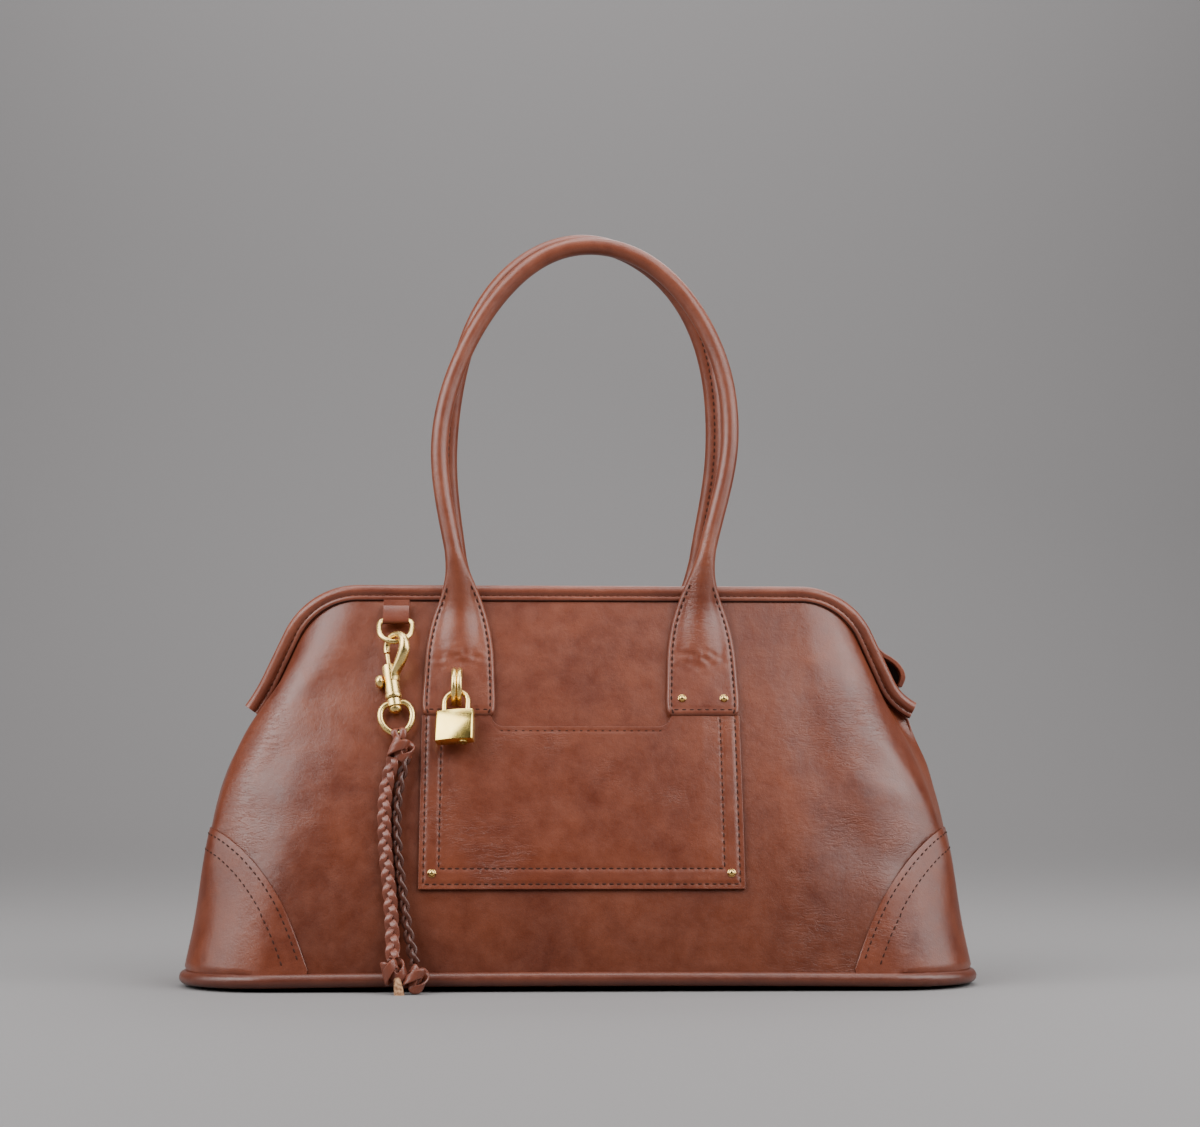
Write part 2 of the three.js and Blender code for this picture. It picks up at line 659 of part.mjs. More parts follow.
const loop = new THREE.ExtrudeGeometry(loopShape, {
  depth: STRAP_WIDTH,
  bevelEnabled: false,
  curveSegments: WIRE_SIDES,
});
const outwardBasis = new THREE.Matrix4().makeBasis(
  new THREE.Vector3(0, -1, 0),
  new THREE.Vector3(0, 0, 1),
  new THREE.Vector3(-1, 0, 0),
);
loop.translate(0, 0, -STRAP_WIDTH / 2).applyMatrix4(outwardBasis);
const strapLoop = addPiece("strap_loop", shaped(loop), LEATHER, hookPanel);
strapLoop.position.set(0, -RING_TOP.off, RING_TOP.up);

// Ring: a loop of round wire, hung in the strap loop by its straight top
const ringHalfHeight = Math.hypot(RING_TOP.up - RING_FOOT.up, RING_FOOT.off - RING_TOP.off) / 2;
const RING_CORNER = { flat: STRAP_WIDTH / 2 + CLEAR, inset: 0.5, drop: 0.7 };
const RING_STEPS = 32;
const ringRound = ringHalfHeight - RING_HALF_WIDTH;
const ringHalf = [
  new THREE.Vector3(RING_CORNER.flat, 0, ringHalfHeight),
  new THREE.Vector3(RING_HALF_WIDTH - RING_CORNER.inset, 0, ringHalfHeight - RING_CORNER.drop),
  new THREE.Vector3(RING_HALF_WIDTH, 0, ringHalfHeight - 3 * RING_CORNER.drop),
  ...[0, 30, 60].map((angle) => {
    const fall = -Math.sin(radians(angle)) * RING_HALF_WIDTH - ringRound;
    return new THREE.Vector3(RING_HALF_WIDTH * Math.cos(radians(angle)), 0, fall);
  }),
];
const ringPoints = [
  ...ringHalf,
  new THREE.Vector3(0, 0, -ringHalfHeight),
  ...ringHalf.map(({ x, z }) => new THREE.Vector3(-x, 0, z)).reverse(),
];
const ringCurve = new THREE.CatmullRomCurve3(ringPoints, true, "centripetal");
const ring = addPiece(
  "hook_ring",
  shaped(new THREE.TubeGeometry(ringCurve, RING_STEPS, RING_WIRE, WIRE_SIDES, true)),
  BRASS,
  hookPanel,
);
ring.position.set(0, -(RING_TOP.off + RING_FOOT.off) / 2, (RING_TOP.up + RING_FOOT.up) / 2);
ring.rotation.x = -Math.atan2(RING_FOOT.off - RING_TOP.off, RING_TOP.up - RING_FOOT.up);

// Snap hook: the bow, barrel and swivel post are one piece; X runs along the bow and Z up the barrel
const hang = new THREE.Group();
hang.position.set(0, -RING_FOOT.off, RING_FOOT.up);
hang.rotation.y = HOOK_TILT;
hookPanel.add(hang);
const yaw = new THREE.Group();
yaw.rotation.z = HOOK_YAW;
hang.add(yaw);
const hook = new THREE.Group();
hook.position.x = -BOW_RADIUS;
yaw.add(hook);
const square = new THREE.Group();
square.rotation.z = -HOOK_YAW;
hook.add(square);

const BOW_TAIL = [
  { x: 12.8, z: -7.6 },
  { x: 9.2, z: -12.2 },
  { x: 5.6, z: -16.4 },
  { x: 4, z: -21 },
  { x: 3.4, z: -29.6 },
];
const BOW_ARC_STEPS = 6;
const bowTop = RING_WIRE + BOW_SLACK + BOW_WIRE;
const bowCentre = bowTop - BOW_RADIUS;
const bowPoints = [
  new THREE.Vector3(0, 0, BOLT.top + CLEAR),
  ...Array.from({ length: BOW_ARC_STEPS + 1 }, (_, k) => {
    const angle = Math.PI * (1 - k / BOW_ARC_STEPS);
    return new THREE.Vector3(
      BOW_RADIUS * (1 + Math.cos(angle)),
      0,
      bowCentre + BOW_RADIUS * Math.sin(angle),
    );
  }),
  ...BOW_TAIL.map(({ x, z }) => new THREE.Vector3(x, 0, z)),
];
const BOW_STEPS = 20;
const MERGE = 1;
const BORE_RADIUS = BOLT.radius + SLIDE_CLEAR;
const BORE_FOOT = BOLT.foot - BOLT.travel - 2 * CLEAR;
const STUB_RADIUS = 1;
const headFoot = COLLAR.foot - CLEAR;
const POST_HEAD = [
  { radius: 0, drop: 0 },
  { radius: 3, drop: 0 },
  { radius: 2.8, drop: 1.2 },
  { radius: 1.6, drop: 2.3 },
  { radius: 0, drop: 2.6 },
];
const postHead = turned(
  POST_HEAD.map(({ radius, drop }) => [radius, headFoot - drop]),
  DOME_SIDES,
);
const slotHalf = STUB_RADIUS + SLIDE_CLEAR;
const slotTop = BOLT.knob + slotHalf;
const slotFoot = BOLT.knob - BOLT.travel - slotHalf;
const slotDepth = BARREL.radius + MERGE;
const slot = new THREE.BoxGeometry(slotDepth, 2 * slotHalf, slotTop - slotFoot);
slot.translate(-slotDepth / 2, 0, (slotTop + slotFoot) / 2);
slot.rotateZ(-HOOK_YAW);
const hookBlank = joined(
  wire(bowPoints, roundShape(BOW_WIRE, BOW_WIRE, WIRE_SIDES), BOW_STEPS),
  bar(BARREL.radius, BARREL.top, BARREL.foot, BARREL_SIDES),
  bar(POST_RADIUS, BARREL.foot + MERGE, headFoot - MERGE, PIN_SIDES),
  postHead,
);
const bore = bar(BORE_RADIUS, BARREL.top + MERGE, BORE_FOOT, DOME_SIDES);
addPiece("hook_body", cut(hookBlank, bore, shaped(slot)), BRASS, hook);

// Thumb bolt: a sliding pin in the barrel with a round thumb knob through the slot
const KNOB_PROFILE = [
  { radius: 0, rise: 0 },
  { radius: 0.7, rise: 0 },
  { radius: 1, rise: 0.3 },
  { radius: 0.8, rise: 0.8 },
  { radius: 0, rise: 1 },
];
const knobShape = turned(
  KNOB_PROFILE.map(({ radius, rise }) => [KNOB.radius * radius, lerp(KNOB.from, KNOB.to, rise)]),
  DOME_SIDES,
);
knobShape.rotateY(-Math.PI / 2).translate(0, 0, BOLT.knob);
const stub = bar(STUB_RADIUS, KNOB.from + MERGE, 0, WIRE_SIDES).rotateY(-Math.PI / 2);
stub.translate(0, 0, BOLT.knob);
addPiece(
  "hook_bolt",
  joined(bar(BOLT.radius, BOLT.top, BOLT.foot, PIN_SIDES), stub, knobShape),
  BRASS,
  square,
);

// Swivel eye: a collar on the post with a loop of round wire under it
const COLLAR_HOLE = POST_RADIUS + SLIDE_CLEAR;
const collar = turned(
  [
    [COLLAR_HOLE, COLLAR.foot],
    [COLLAR.radius, COLLAR.foot],
    [COLLAR.radius, COLLAR.top],
    [COLLAR_HOLE, COLLAR.top],
    [COLLAR_HOLE, COLLAR.foot],
  ],
  BARREL_SIDES,
);
const EYE_HALF = [
  { x: 2.7, z: -34.4 },
  { x: 5.6, z: -35 },
  { x: 8.2, z: -38.2 },
  { x: 8.6, z: -43.5 },
  { x: 5.6, z: -49.6 },
];
const eyePoints = [
  ...EYE_HALF.map(({ x, z }) => new THREE.Vector3(-x, 0, z)),
  new THREE.Vector3(0, 0, EYE_FOOT),
  ...EYE_HALF.map(({ x, z }) => new THREE.Vector3(x, 0, z)).reverse(),
];
const EYE_STEPS = 24;
const eyeWire = wire(eyePoints, roundShape(EYE_WIRE, EYE_WIRE, WIRE_SIDES), EYE_STEPS);
addPiece("swivel_eye", joined(collar, eyeWire), BRASS, square);

// Lanyard: a thong loop on the eye, a head knot, two braided strands and an end knot on each
const loopRadius = EYE_WIRE + CLEAR + THONG_RADIUS;
const thongLoop = shaped(
  new THREE.TorusGeometry(loopRadius, THONG_RADIUS, WIRE_SIDES, BARREL_SIDES).rotateY(Math.PI / 2),
);
const thong = addPiece("braid_loop", thongLoop, LEATHER, square);
thong.position.z = EYE_FOOT;

// A point off the front panel by its height and its distance from the panel.
function offPanel({ x, z, off }) {
  return new THREE.Vector3(x, frontY(z) - off, z);
}

function knot(name, { x, z, off }, { wide, deep, tall }) {
  const ball = shaped(new THREE.SphereGeometry(1, BARREL_SIDES, PIN_SIDES).scale(wide, deep, tall));
  addPiece(name, ball, LEATHER).position.copy(offPanel({ x, z, off }));
}
knot("braid_head_knot", { x: -98.5, z: 131, off: 6.2 }, { wide: 6.8, deep: 5.4, tall: 4.9 });
knot("braid_end_knot_left", { x: -99.2, z: 14.4, off: 11.6 }, { wide: 6.8, deep: 5.6, tall: 6 });
knot("braid_end_knot_right", { x: -87.4, z: 10.5, off: 11.4 }, { wide: 5.4, deep: 5.4, tall: 7.2 });

const BRAID_LEFT = [
  { x: -101.8, z: 126.2, off: 6.2 },
  { x: -105.4, z: 111, off: 4.6 },
  { x: -106.2, z: 97, off: 4.2 },
  { x: -105, z: 76, off: 4.1 },
  { x: -102, z: 52, off: 4.4 },
  { x: -100.2, z: 33, off: 7 },
  { x: -99.4, z: 20.7, off: 11.2 },
];
const BRAID_RIGHT = [
  { x: -95.2, z: 125.9, off: 6.2 },
  { x: -98.4, z: 111, off: 4.6 },
  { x: -99.7, z: 97, off: 4.2 },
  { x: -98.6, z: 76, off: 4.1 },
  { x: -95.2, z: 52, off: 4.4 },
  { x: -91.6, z: 32, off: 7 },
  { x: -88, z: 18, off: 11 },
];
const BRAID_STEPS = 16;
const braidSection = roundShape(BRAID_RADIUS, BRAID_RADIUS, PIN_SIDES);
addPiece("braid_left", wire(BRAID_LEFT.map(offPanel), braidSection, BRAID_STEPS), LEATHER);
addPiece("braid_right", wire(BRAID_RIGHT.map(offPanel), braidSection, BRAID_STEPS), LEATHER);

// Staple: a double wire loop seated on the left tab
const lockPanel = panelGroup(LOCK_X, LOCK_PANEL_Z);
const STAPLE_STEPS = 8;
const staplePoints = Array.from({ length: STAPLE_STEPS + 1 }, (_, k) => {
  const angle = Math.PI * (0.5 - k / STAPLE_STEPS);
  return new THREE.Vector3(0, -STAPLE.reach * Math.cos(angle), STAPLE.rise * Math.sin(angle));
});
const stapleWire = wire(staplePoints, roundShape(STAPLE.halfWidth, STAPLE.wire, PIN_SIDES), STAPLE_STEPS + 4);
const staple = addPiece("lock_ring", stapleWire, BRASS, lockPanel);
staple.position.set(0, -STAPLE.off, STAPLE.up);

// Padlock: shackle, body and key plug hang from the staple; Z runs down from the top of the shackle
const lock = new THREE.Group();
lock.position.set(0, -LOCK_PIVOT.off, LOCK_PIVOT.up);
lock.rotation.set(LOCK_LEAN, LOCK_ROLL, LOCK_YAW);
lockPanel.add(lock);

const shacklePoints = [
  new THREE.Vector3(-SHACKLE.radius, 0, -SHACKLE.leg - SHACKLE.seat),
  new THREE.Vector3(-SHACKLE.radius, 0, -SHACKLE.leg),
  ...Array.from({ length: BOW_ARC_STEPS + 1 }, (_, k) => {
    const angle = Math.PI * (1 - k / BOW_ARC_STEPS);
    return new THREE.Vector3(Math.cos(angle), 0, Math.sin(angle) - 1).multiplyScalar(SHACKLE.radius);
  }),
  new THREE.Vector3(SHACKLE.radius, 0, -SHACKLE.leg),
  new THREE.Vector3(SHACKLE.radius, 0, -SHACKLE.leg - SHACKLE.seat),
];
const SHACKLE_STEPS = 18;
const shackleWire = wire(shacklePoints, roundShape(SHACKLE.wire, SHACKLE.wire, PIN_SIDES), SHACKLE_STEPS);
addPiece("padlock_shackle", shackleWire, BRASS, lock);

const bodyHalf = LOCK_BODY.width / 2 - LOCK_BODY.edge;
const bodyTop = -SHACKLE.leg - LOCK_BODY.edge;
const bodyFoot = -SHACKLE.leg - LOCK_BODY.height + LOCK_BODY.edge;
const bodyShape = new THREE.Shape([
  new THREE.Vector2(-bodyHalf, bodyFoot),
  new THREE.Vector2(bodyHalf, bodyFoot),
  new THREE.Vector2(bodyHalf, bodyTop),
  new THREE.Vector2(-bodyHalf, bodyTop),
]);
const bodyBlock = new THREE.ExtrudeGeometry(bodyShape, {
  depth: LOCK_BODY.thick - 2 * LOCK_BODY.edge,
  bevelEnabled: true,
  bevelThickness: LOCK_BODY.edge,
  bevelSize: LOCK_BODY.edge,
  bevelSegments: 1,
});
bodyBlock.translate(0, 0, LOCK_BODY.edge - LOCK_BODY.thick / 2).rotateX(Math.PI / 2);
const socketTop = MERGE - SHACKLE.leg;
const socketFoot = -SHACKLE.leg - SHACKLE.seat - CLEAR;
const sockets = [-1, 1].map((side) =>
  bar(SHACKLE.wire + SLIDE_CLEAR, socketTop, socketFoot, DOME_SIDES, side * SHACKLE.radius),
);
addPiece("padlock_body", cut(shaped(bodyBlock), ...sockets), BRASS, lock);

const plugTop = -SHACKLE.leg - LOCK_BODY.height - CLEAR;
const keyPlug = bar(KEY_PLUG.radius, plugTop, plugTop - KEY_PLUG.height, BARREL_SIDES, KEY_PLUG.x);
addPiece("padlock_key_plug", keyPlug, BRASS, lock);

export default bag;
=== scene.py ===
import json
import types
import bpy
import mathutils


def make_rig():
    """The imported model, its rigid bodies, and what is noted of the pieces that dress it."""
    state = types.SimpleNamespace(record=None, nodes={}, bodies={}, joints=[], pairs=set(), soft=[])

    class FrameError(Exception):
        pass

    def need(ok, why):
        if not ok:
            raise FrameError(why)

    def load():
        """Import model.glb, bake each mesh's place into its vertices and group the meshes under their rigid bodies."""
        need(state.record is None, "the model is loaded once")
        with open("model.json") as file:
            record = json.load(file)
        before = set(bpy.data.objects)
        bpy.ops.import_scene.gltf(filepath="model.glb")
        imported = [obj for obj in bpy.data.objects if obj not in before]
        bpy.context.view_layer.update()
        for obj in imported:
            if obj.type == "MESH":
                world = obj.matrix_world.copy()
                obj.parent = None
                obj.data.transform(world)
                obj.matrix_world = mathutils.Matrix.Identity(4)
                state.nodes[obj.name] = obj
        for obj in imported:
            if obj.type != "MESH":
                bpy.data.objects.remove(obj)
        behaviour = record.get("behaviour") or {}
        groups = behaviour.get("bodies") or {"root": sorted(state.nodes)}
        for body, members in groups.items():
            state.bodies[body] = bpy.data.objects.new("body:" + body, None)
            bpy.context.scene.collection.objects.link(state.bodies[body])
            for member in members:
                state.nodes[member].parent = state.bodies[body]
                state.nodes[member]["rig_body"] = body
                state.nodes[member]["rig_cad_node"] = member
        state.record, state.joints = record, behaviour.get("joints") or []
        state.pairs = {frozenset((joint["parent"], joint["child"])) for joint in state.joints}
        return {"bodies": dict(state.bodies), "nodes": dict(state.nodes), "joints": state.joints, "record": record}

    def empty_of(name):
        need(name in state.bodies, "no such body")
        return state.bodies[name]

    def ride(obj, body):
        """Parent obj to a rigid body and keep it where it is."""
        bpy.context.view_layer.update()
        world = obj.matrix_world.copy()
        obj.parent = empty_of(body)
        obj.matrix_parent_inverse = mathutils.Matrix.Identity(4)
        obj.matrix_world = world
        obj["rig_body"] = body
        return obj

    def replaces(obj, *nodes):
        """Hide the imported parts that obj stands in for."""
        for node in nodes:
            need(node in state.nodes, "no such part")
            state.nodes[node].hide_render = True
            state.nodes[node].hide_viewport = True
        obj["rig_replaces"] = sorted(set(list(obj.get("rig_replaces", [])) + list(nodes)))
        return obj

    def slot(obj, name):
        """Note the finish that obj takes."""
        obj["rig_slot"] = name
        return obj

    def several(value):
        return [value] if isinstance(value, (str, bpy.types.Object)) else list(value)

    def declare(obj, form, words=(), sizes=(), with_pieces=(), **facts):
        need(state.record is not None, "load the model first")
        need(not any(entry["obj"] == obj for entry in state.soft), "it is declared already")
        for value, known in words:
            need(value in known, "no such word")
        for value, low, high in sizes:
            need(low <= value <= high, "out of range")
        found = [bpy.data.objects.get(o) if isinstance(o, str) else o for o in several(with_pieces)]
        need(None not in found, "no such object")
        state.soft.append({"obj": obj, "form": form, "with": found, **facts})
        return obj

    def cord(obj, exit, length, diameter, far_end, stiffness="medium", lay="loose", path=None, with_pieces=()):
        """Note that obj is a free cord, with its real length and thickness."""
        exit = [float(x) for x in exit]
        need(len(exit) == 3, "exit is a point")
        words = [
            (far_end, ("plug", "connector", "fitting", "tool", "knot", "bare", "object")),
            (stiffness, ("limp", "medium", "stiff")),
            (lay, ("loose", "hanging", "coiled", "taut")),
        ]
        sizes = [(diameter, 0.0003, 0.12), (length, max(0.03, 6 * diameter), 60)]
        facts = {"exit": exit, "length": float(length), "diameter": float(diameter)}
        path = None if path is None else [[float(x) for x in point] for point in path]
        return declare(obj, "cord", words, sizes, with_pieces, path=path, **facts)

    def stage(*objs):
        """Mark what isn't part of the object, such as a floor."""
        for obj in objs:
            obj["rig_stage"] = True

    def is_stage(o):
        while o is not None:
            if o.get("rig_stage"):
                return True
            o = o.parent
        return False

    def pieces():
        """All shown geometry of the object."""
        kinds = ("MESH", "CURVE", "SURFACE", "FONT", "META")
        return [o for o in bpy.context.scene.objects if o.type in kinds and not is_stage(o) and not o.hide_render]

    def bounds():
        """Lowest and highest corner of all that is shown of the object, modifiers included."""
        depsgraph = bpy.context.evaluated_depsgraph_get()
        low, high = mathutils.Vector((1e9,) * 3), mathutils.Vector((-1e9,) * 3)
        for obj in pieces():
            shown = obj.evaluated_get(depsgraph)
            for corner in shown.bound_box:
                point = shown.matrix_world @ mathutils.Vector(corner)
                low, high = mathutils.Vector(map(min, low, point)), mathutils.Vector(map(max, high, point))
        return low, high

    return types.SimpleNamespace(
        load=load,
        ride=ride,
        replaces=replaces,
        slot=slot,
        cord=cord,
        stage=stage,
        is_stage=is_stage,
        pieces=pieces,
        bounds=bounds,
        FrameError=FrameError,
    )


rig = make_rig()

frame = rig.load()
cad_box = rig.bounds()

import json
import math

import bmesh
import bpy
from mathutils import Matrix, Vector, noise

# Front and back panels: two soft waxed leather walls, each wrapped round both ends to a side seam.
# Each is one cut of leather, sewn to the piping below and turned into the rolled rim above.
# Lengths below are in millimetres; a piece is scaled to metres when it is fitted.
MM = 0.001
HALF_DEPTH = 75
BASE_PATH = [(165.5, 0), (25 * math.pi, math.pi / 2), (25, 0)]
BASE_LENGTH = sum(length for length, _ in BASE_PATH)
BASE_SEAM_Z = 12.3
RIM_SEAM_Z = 214.8
RIM_TOP_HALF = 125
RIM_CORNER = (41.3, math.radians(64))
RIM_PATH = {
    -1: [(RIM_TOP_HALF, 0), RIM_CORNER, (28, 0), (21, math.radians(-10))],
    1: [(RIM_TOP_HALF, 0), RIM_CORNER, (29.5, 0), (25.5, math.radians(-39))],
}
RIM_REACH = {-1: 215.3, 1: 221.3}
WALL_TOP_Y = 18
WALL_EAR_Y = 0.2
WALL_BULGE = 20
END_FULLNESS = {-1: 64, 1: 24}
END_START = 0.6
END_BLEND = 3
PANEL_THICK = 2
LEATHER_DARK = (0.087, 0.0162, 0.007)
LEATHER_LIGHT = (0.193, 0.047, 0.0188)


def mix(a, b, share):
    return a + (b - a) * share


def ease(value, start, end):
    share = max(0, min(1, (value - start) / (end - start)))
    return share * share * (3 - 2 * share)


def trace(path, distance):
    """Place and heading after a distance along a flat path of straight and round stretches."""
    along = drop = heading = 0
    for length, turn in path:
        share = max(0, min(distance, length))
        ahead = heading + turn * share / length
        if turn:
            along += length / turn * (math.sin(ahead) - math.sin(heading))
            drop += length / turn * (math.cos(heading) - math.cos(ahead))
        else:
            along += share * math.cos(heading)
            drop += share * math.sin(heading)
        heading = ahead
        distance -= share
    return along, drop, heading


def wall_sheet(across, up):
    """The front wall as a plain loft from the base seam to the rim, before its ends are rounded out."""
    side = -1 if across < 0 else 1
    along, drop, heading = trace(BASE_PATH, abs(across) * BASE_LENGTH)
    distance = abs(across) * RIM_REACH[side]
    rim_along, rim_drop, _ = trace(RIM_PATH[side], distance)
    rim_y = mix(WALL_TOP_Y, WALL_EAR_Y, ease(distance, RIM_TOP_HALF, RIM_REACH[side]))
    full = END_FULLNESS[side] * up ** 3 * (1 - up) * ease(1 - up, 0.04, 0.2)
    bulge = WALL_BULGE * up * (1 - up) + full * math.sin(heading) ** 2
    return Vector((
        side * (mix(along, rim_along, up) + bulge * math.sin(heading)),
        mix(drop - HALF_DEPTH, -rim_y, up) - bulge * math.cos(heading),
        mix(BASE_SEAM_Z, RIM_SEAM_Z - rim_drop, up),
    ))


def wall_point(across, up):
    """Outer face of the front wall, across -1 to 1 between the side seams and up 0 to 1."""
    point = wall_sheet(across, up)
    past = (abs(across) - END_START) / (1 - END_START)
    if past > 0:
        start = wall_sheet(math.copysign(END_START, across), up)
        rounded = start.y * math.sqrt(max(0, 1 - past ** 2))
        fuller = (point.y + rounded + END_BLEND - math.hypot(point.y - rounded, END_BLEND)) / 2
        share = ease(up, 0.1, 0.45) * (1 - 0.75 * ease(up, 0.62, 1))
        point.y = mix(point.y, min(0, fuller), share)
    return point


def wall_normal(across, up):
    step = 0.01
    sideways = wall_point(min(1, across + step), up) - wall_point(max(-1, across - step), up)
    upwards = wall_point(across, min(1, up + step)) - wall_point(across, max(0, up - step))
    return sideways.cross(upwards).normalized()


def off_wall(across, up, off):
    return wall_point(across, up) + wall_normal(across, up) * off


def wall_sag(across, up):
    """How far the soft ends of the wall sink in, in slow waves; none under the sewn-on pieces."""
    at_end = ease(abs(across), 0.45, 0.62) * (1 - ease(abs(across), 0.8, 0.95))
    at_end *= ease(up, 0.05, 0.3) * (1 - ease(up, 0.78, 0.97))
    wave = noise.noise(Vector((across * 5 + 3.1, up * 4.6, 7.7)))
    ripple = noise.noise(Vector((across * 9 + 1.7, up * 10, 4.2)))
    return -at_end * (2.1 * max(0, 0.45 + wave) + 0.55 * (ripple + 0.5))


def front_wall(u, v):
    across = mix(-1, 1, u)
    point = off_wall(across, v, wall_sag(across, v))
    point.y = min(point.y, 0)
    return point


def back_wall(u, v):
    point = front_wall(1 - u, v)
    point.y = -point.y
    return point


def spread_grid(columns, rows, place):
    """A grid of leather whose points go where place(u, v) says, u and v from 0 to 1."""
    bm = bmesh.new()
    bm.loops.layers.uv.new("UVMap")
    bmesh.ops.create_grid(bm, x_segments=columns, y_segments=rows, size=0.5, calc_uvs=True)
    for vert in bm.verts:
        u, v = (max(0, min(1, value + 0.5)) for value in vert.co.xy)
        vert.co = place(u, v)
    return bm


def bake_mesh(name, bm):
    mesh = bpy.data.meshes.new(name)
    bm.to_mesh(mesh)
    bm.free()
    return mesh


def fit_piece(name, bm, material, slot, nodes=(), body="bag", closed=True, sharp=45):
    """Scales a finished shape to metres, gives it its finish and hangs it on its body."""
    bmesh.ops.remove_doubles(bm, verts=bm.verts, dist=0.004)
    if closed:
        bmesh.ops.recalc_face_normals(bm, faces=bm.faces)
    bmesh.ops.scale(bm, vec=(MM, MM, MM), verts=bm.verts)
    bm.edges.index_update()
    cut_edges = [edge.index for edge in bm.edges if edge.is_boundary]
    mesh = bake_mesh(name, bm)
    mesh.shade_smooth()
    mesh.set_sharp_from_angle(angle=math.radians(sharp))
    for index in cut_edges:
        mesh.edges[index].use_edge_sharp = True
    mesh.materials.append(material)
    piece = bpy.data.objects.new(name, mesh)
    bpy.context.scene.collection.objects.link(piece)
    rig.ride(piece, body)
    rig.slot(piece, slot)
    if nodes:
        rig.replaces(piece, *nodes)
    return piece


def fit_sheet(name, bm, material, slot, nodes, thick, edge=0.0):
    """Fits a cut sheet, gives it its thickness inwards, and softens its edges where edge says so."""
    piece = fit_piece(name, bm, material, slot, nodes, closed=False)
    wall = piece.modifiers.new("thickness", "SOLIDIFY")
    wall.thickness = thick * MM
    wall.offset = -1
    wall.use_even_offset = True
    if edge:
        soft = piece.modifiers.new("edge", "BEVEL")
        soft.width = edge * MM
        soft.segments = 3
        soft.limit_method = "ANGLE"
        soft.angle_limit = math.radians(50)


def shader_socket(material, name):
    return material.node_tree.nodes["Principled BSDF"].inputs[name.replace("_", " ")]


def new_finish(name, **numbers):
    """A material whose constant numbers are set on the shader's own sockets."""
    material = bpy.data.materials.new(name)
    material.use_nodes = True
    for socket, value in numbers.items():
        shader_socket(material, socket).default_value = value
    return material


def dress(material, **looks):
    """Links what a finish's nodes work out to the shader's sockets."""
    for socket, look in looks.items():
        material.node_tree.links.new(look, shader_socket(material, socket))
    return material


def add_node(material, kind, inputs=None, output=0, **settings):
    """One shader node's output; an input value that is a socket is linked, any other is set."""
    node = material.node_tree.nodes.new(f"ShaderNode{kind}")
    for name, value in settings.items():
        setattr(node, name, value)
    for name, value in (inputs or {}).items():
        if isinstance(value, bpy.types.NodeSocket):
            material.node_tree.links.new(value, node.inputs[name])
        else:
            node.inputs[name].default_value = value
    return node.outputs[output]


def object_place(material):
    return add_node(material, "TexCoord", output="Object")


def cloudy(material, place, scale, detail=2.0, rough=0.5, warp=0.0):
    return add_node(material, "TexNoise", {
        "Vector": place, "Scale": scale, "Detail": detail, "Roughness": rough, "Distortion": warp})


def shade_range(material, value, low, high, to_low=0.0, to_high=1.0):
    return add_node(material, "MapRange", {
        "Value": value, "From Min": low, "From Max": high, "To Min": to_low, "To Max": to_high}, "Result")


def reckon(material, operation, *values):
    return add_node(material, "Math", dict(enumerate(values)), operation=operation)


def two_tone(material, share, first, second):
    return add_node(material, "Mix", {
        "Factor": share, 6: (*first, 1), 7: (*second, 1)}, 2, data_type="RGBA")


def raised(material, height, strength, distance, under=None, invert=False):
    inputs = {"Height": height, "Strength": strength, "Distance": distance}
    if under is not None:
        inputs["Normal"] = under
    return add_node(material, "Bump", inputs, invert=invert)


def waxed_leather(name, dark, light, cut=(0, 0, 0), crease=0.5, walls=False, rough=0.28):
    """Pull-up leather: cloudy colour, fine pores and short creases.

    The walls get painted shade, darker towards the foot, and are creased only towards the ends of the bag.
    """
    leather = new_finish(name, Specular_IOR_Level=0.5)
    place = object_place(leather)
    hide = add_node(leather, "Mapping", {"Vector": place, "Location": cut})
    clouds = cloudy(leather, hide, 16.0, 4.0, 0.62, 0.4)
    mottle = cloudy(leather, hide, 95.0, 5.0, 0.65)
    pores = cloudy(leather, hide, 1500.0, 2.0, 0.6)
    cloud_share = shade_range(leather, clouds, 0.32, 0.68)
    mottle_share = shade_range(leather, mottle, 0.3, 0.7)
    both = add_node(leather, "Mix", {"Factor": 0.38, 2: cloud_share, 3: mottle_share})
    pore_tone_and_painted_shade = shade_range(leather, pores, 0.3, 0.6, 0.86, 1.04)
    where = cloudy(leather, hide, 24.0)
    if walls:
        # Painted shade: below 11 cm the walls' colour darkens towards the foot, to 0.72 at 2.5 cm.
        height = add_node(leather, "SeparateXYZ", {0: place}, "Z")
        painted_foot_shade = shade_range(leather, height, 0.025, 0.11, 0.72, 1.0)
        pore_tone_and_painted_shade = reckon(leather, "MULTIPLY", pore_tone_and_painted_shade, painted_foot_shade)
        sideways = add_node(leather, "SeparateXYZ", {0: place}, "X")
        at_ends = shade_range(leather, reckon(leather, "ABSOLUTE", sideways), 0.085, 0.14)
        creased = reckon(leather, "MULTIPLY", shade_range(leather, where, 0.46, 0.62), at_ends)
    else:
        creased = shade_range(leather, where, 0.55, 0.72)
    # The colour takes the pores and, on the walls, the painted shade at the foot.
    pored_colour_and_painted_shade = add_node(leather, "Mix", {
        "Factor": 1.0, 6: two_tone(leather, both, dark, light), 7: pore_tone_and_painted_shade}, 2,
        data_type="RGBA", blend_type="MULTIPLY")

    long_hide = add_node(leather, "Mapping", {"Vector": hide, "Scale": (110, 110, 420)})
    folds = cloudy(leather, long_hide, 1.0, 3.0, 0.6, 0.8)
    off_fold = reckon(leather, "ABSOLUTE", reckon(leather, "SUBTRACT", folds, 0.5))
    fine_line = shade_range(leather, off_fold, 0.0, 0.07, 1.0, 0.0)
    crease_line = reckon(leather, "MULTIPLY", fine_line, creased)
    soft = raised(leather, mottle, 0.28, 0.001)
    grain = raised(leather, pores, 0.16, 0.0003, soft)
    creasing = raised(leather, crease_line, crease, 0.00016, grain, invert=True)
    wax = shade_range(leather, mottle, 0.25, 0.75, rough, rough + 0.13)
    return dress(leather, Base_Color=pored_colour_and_painted_shade, Roughness=wax, Normal=creasing)


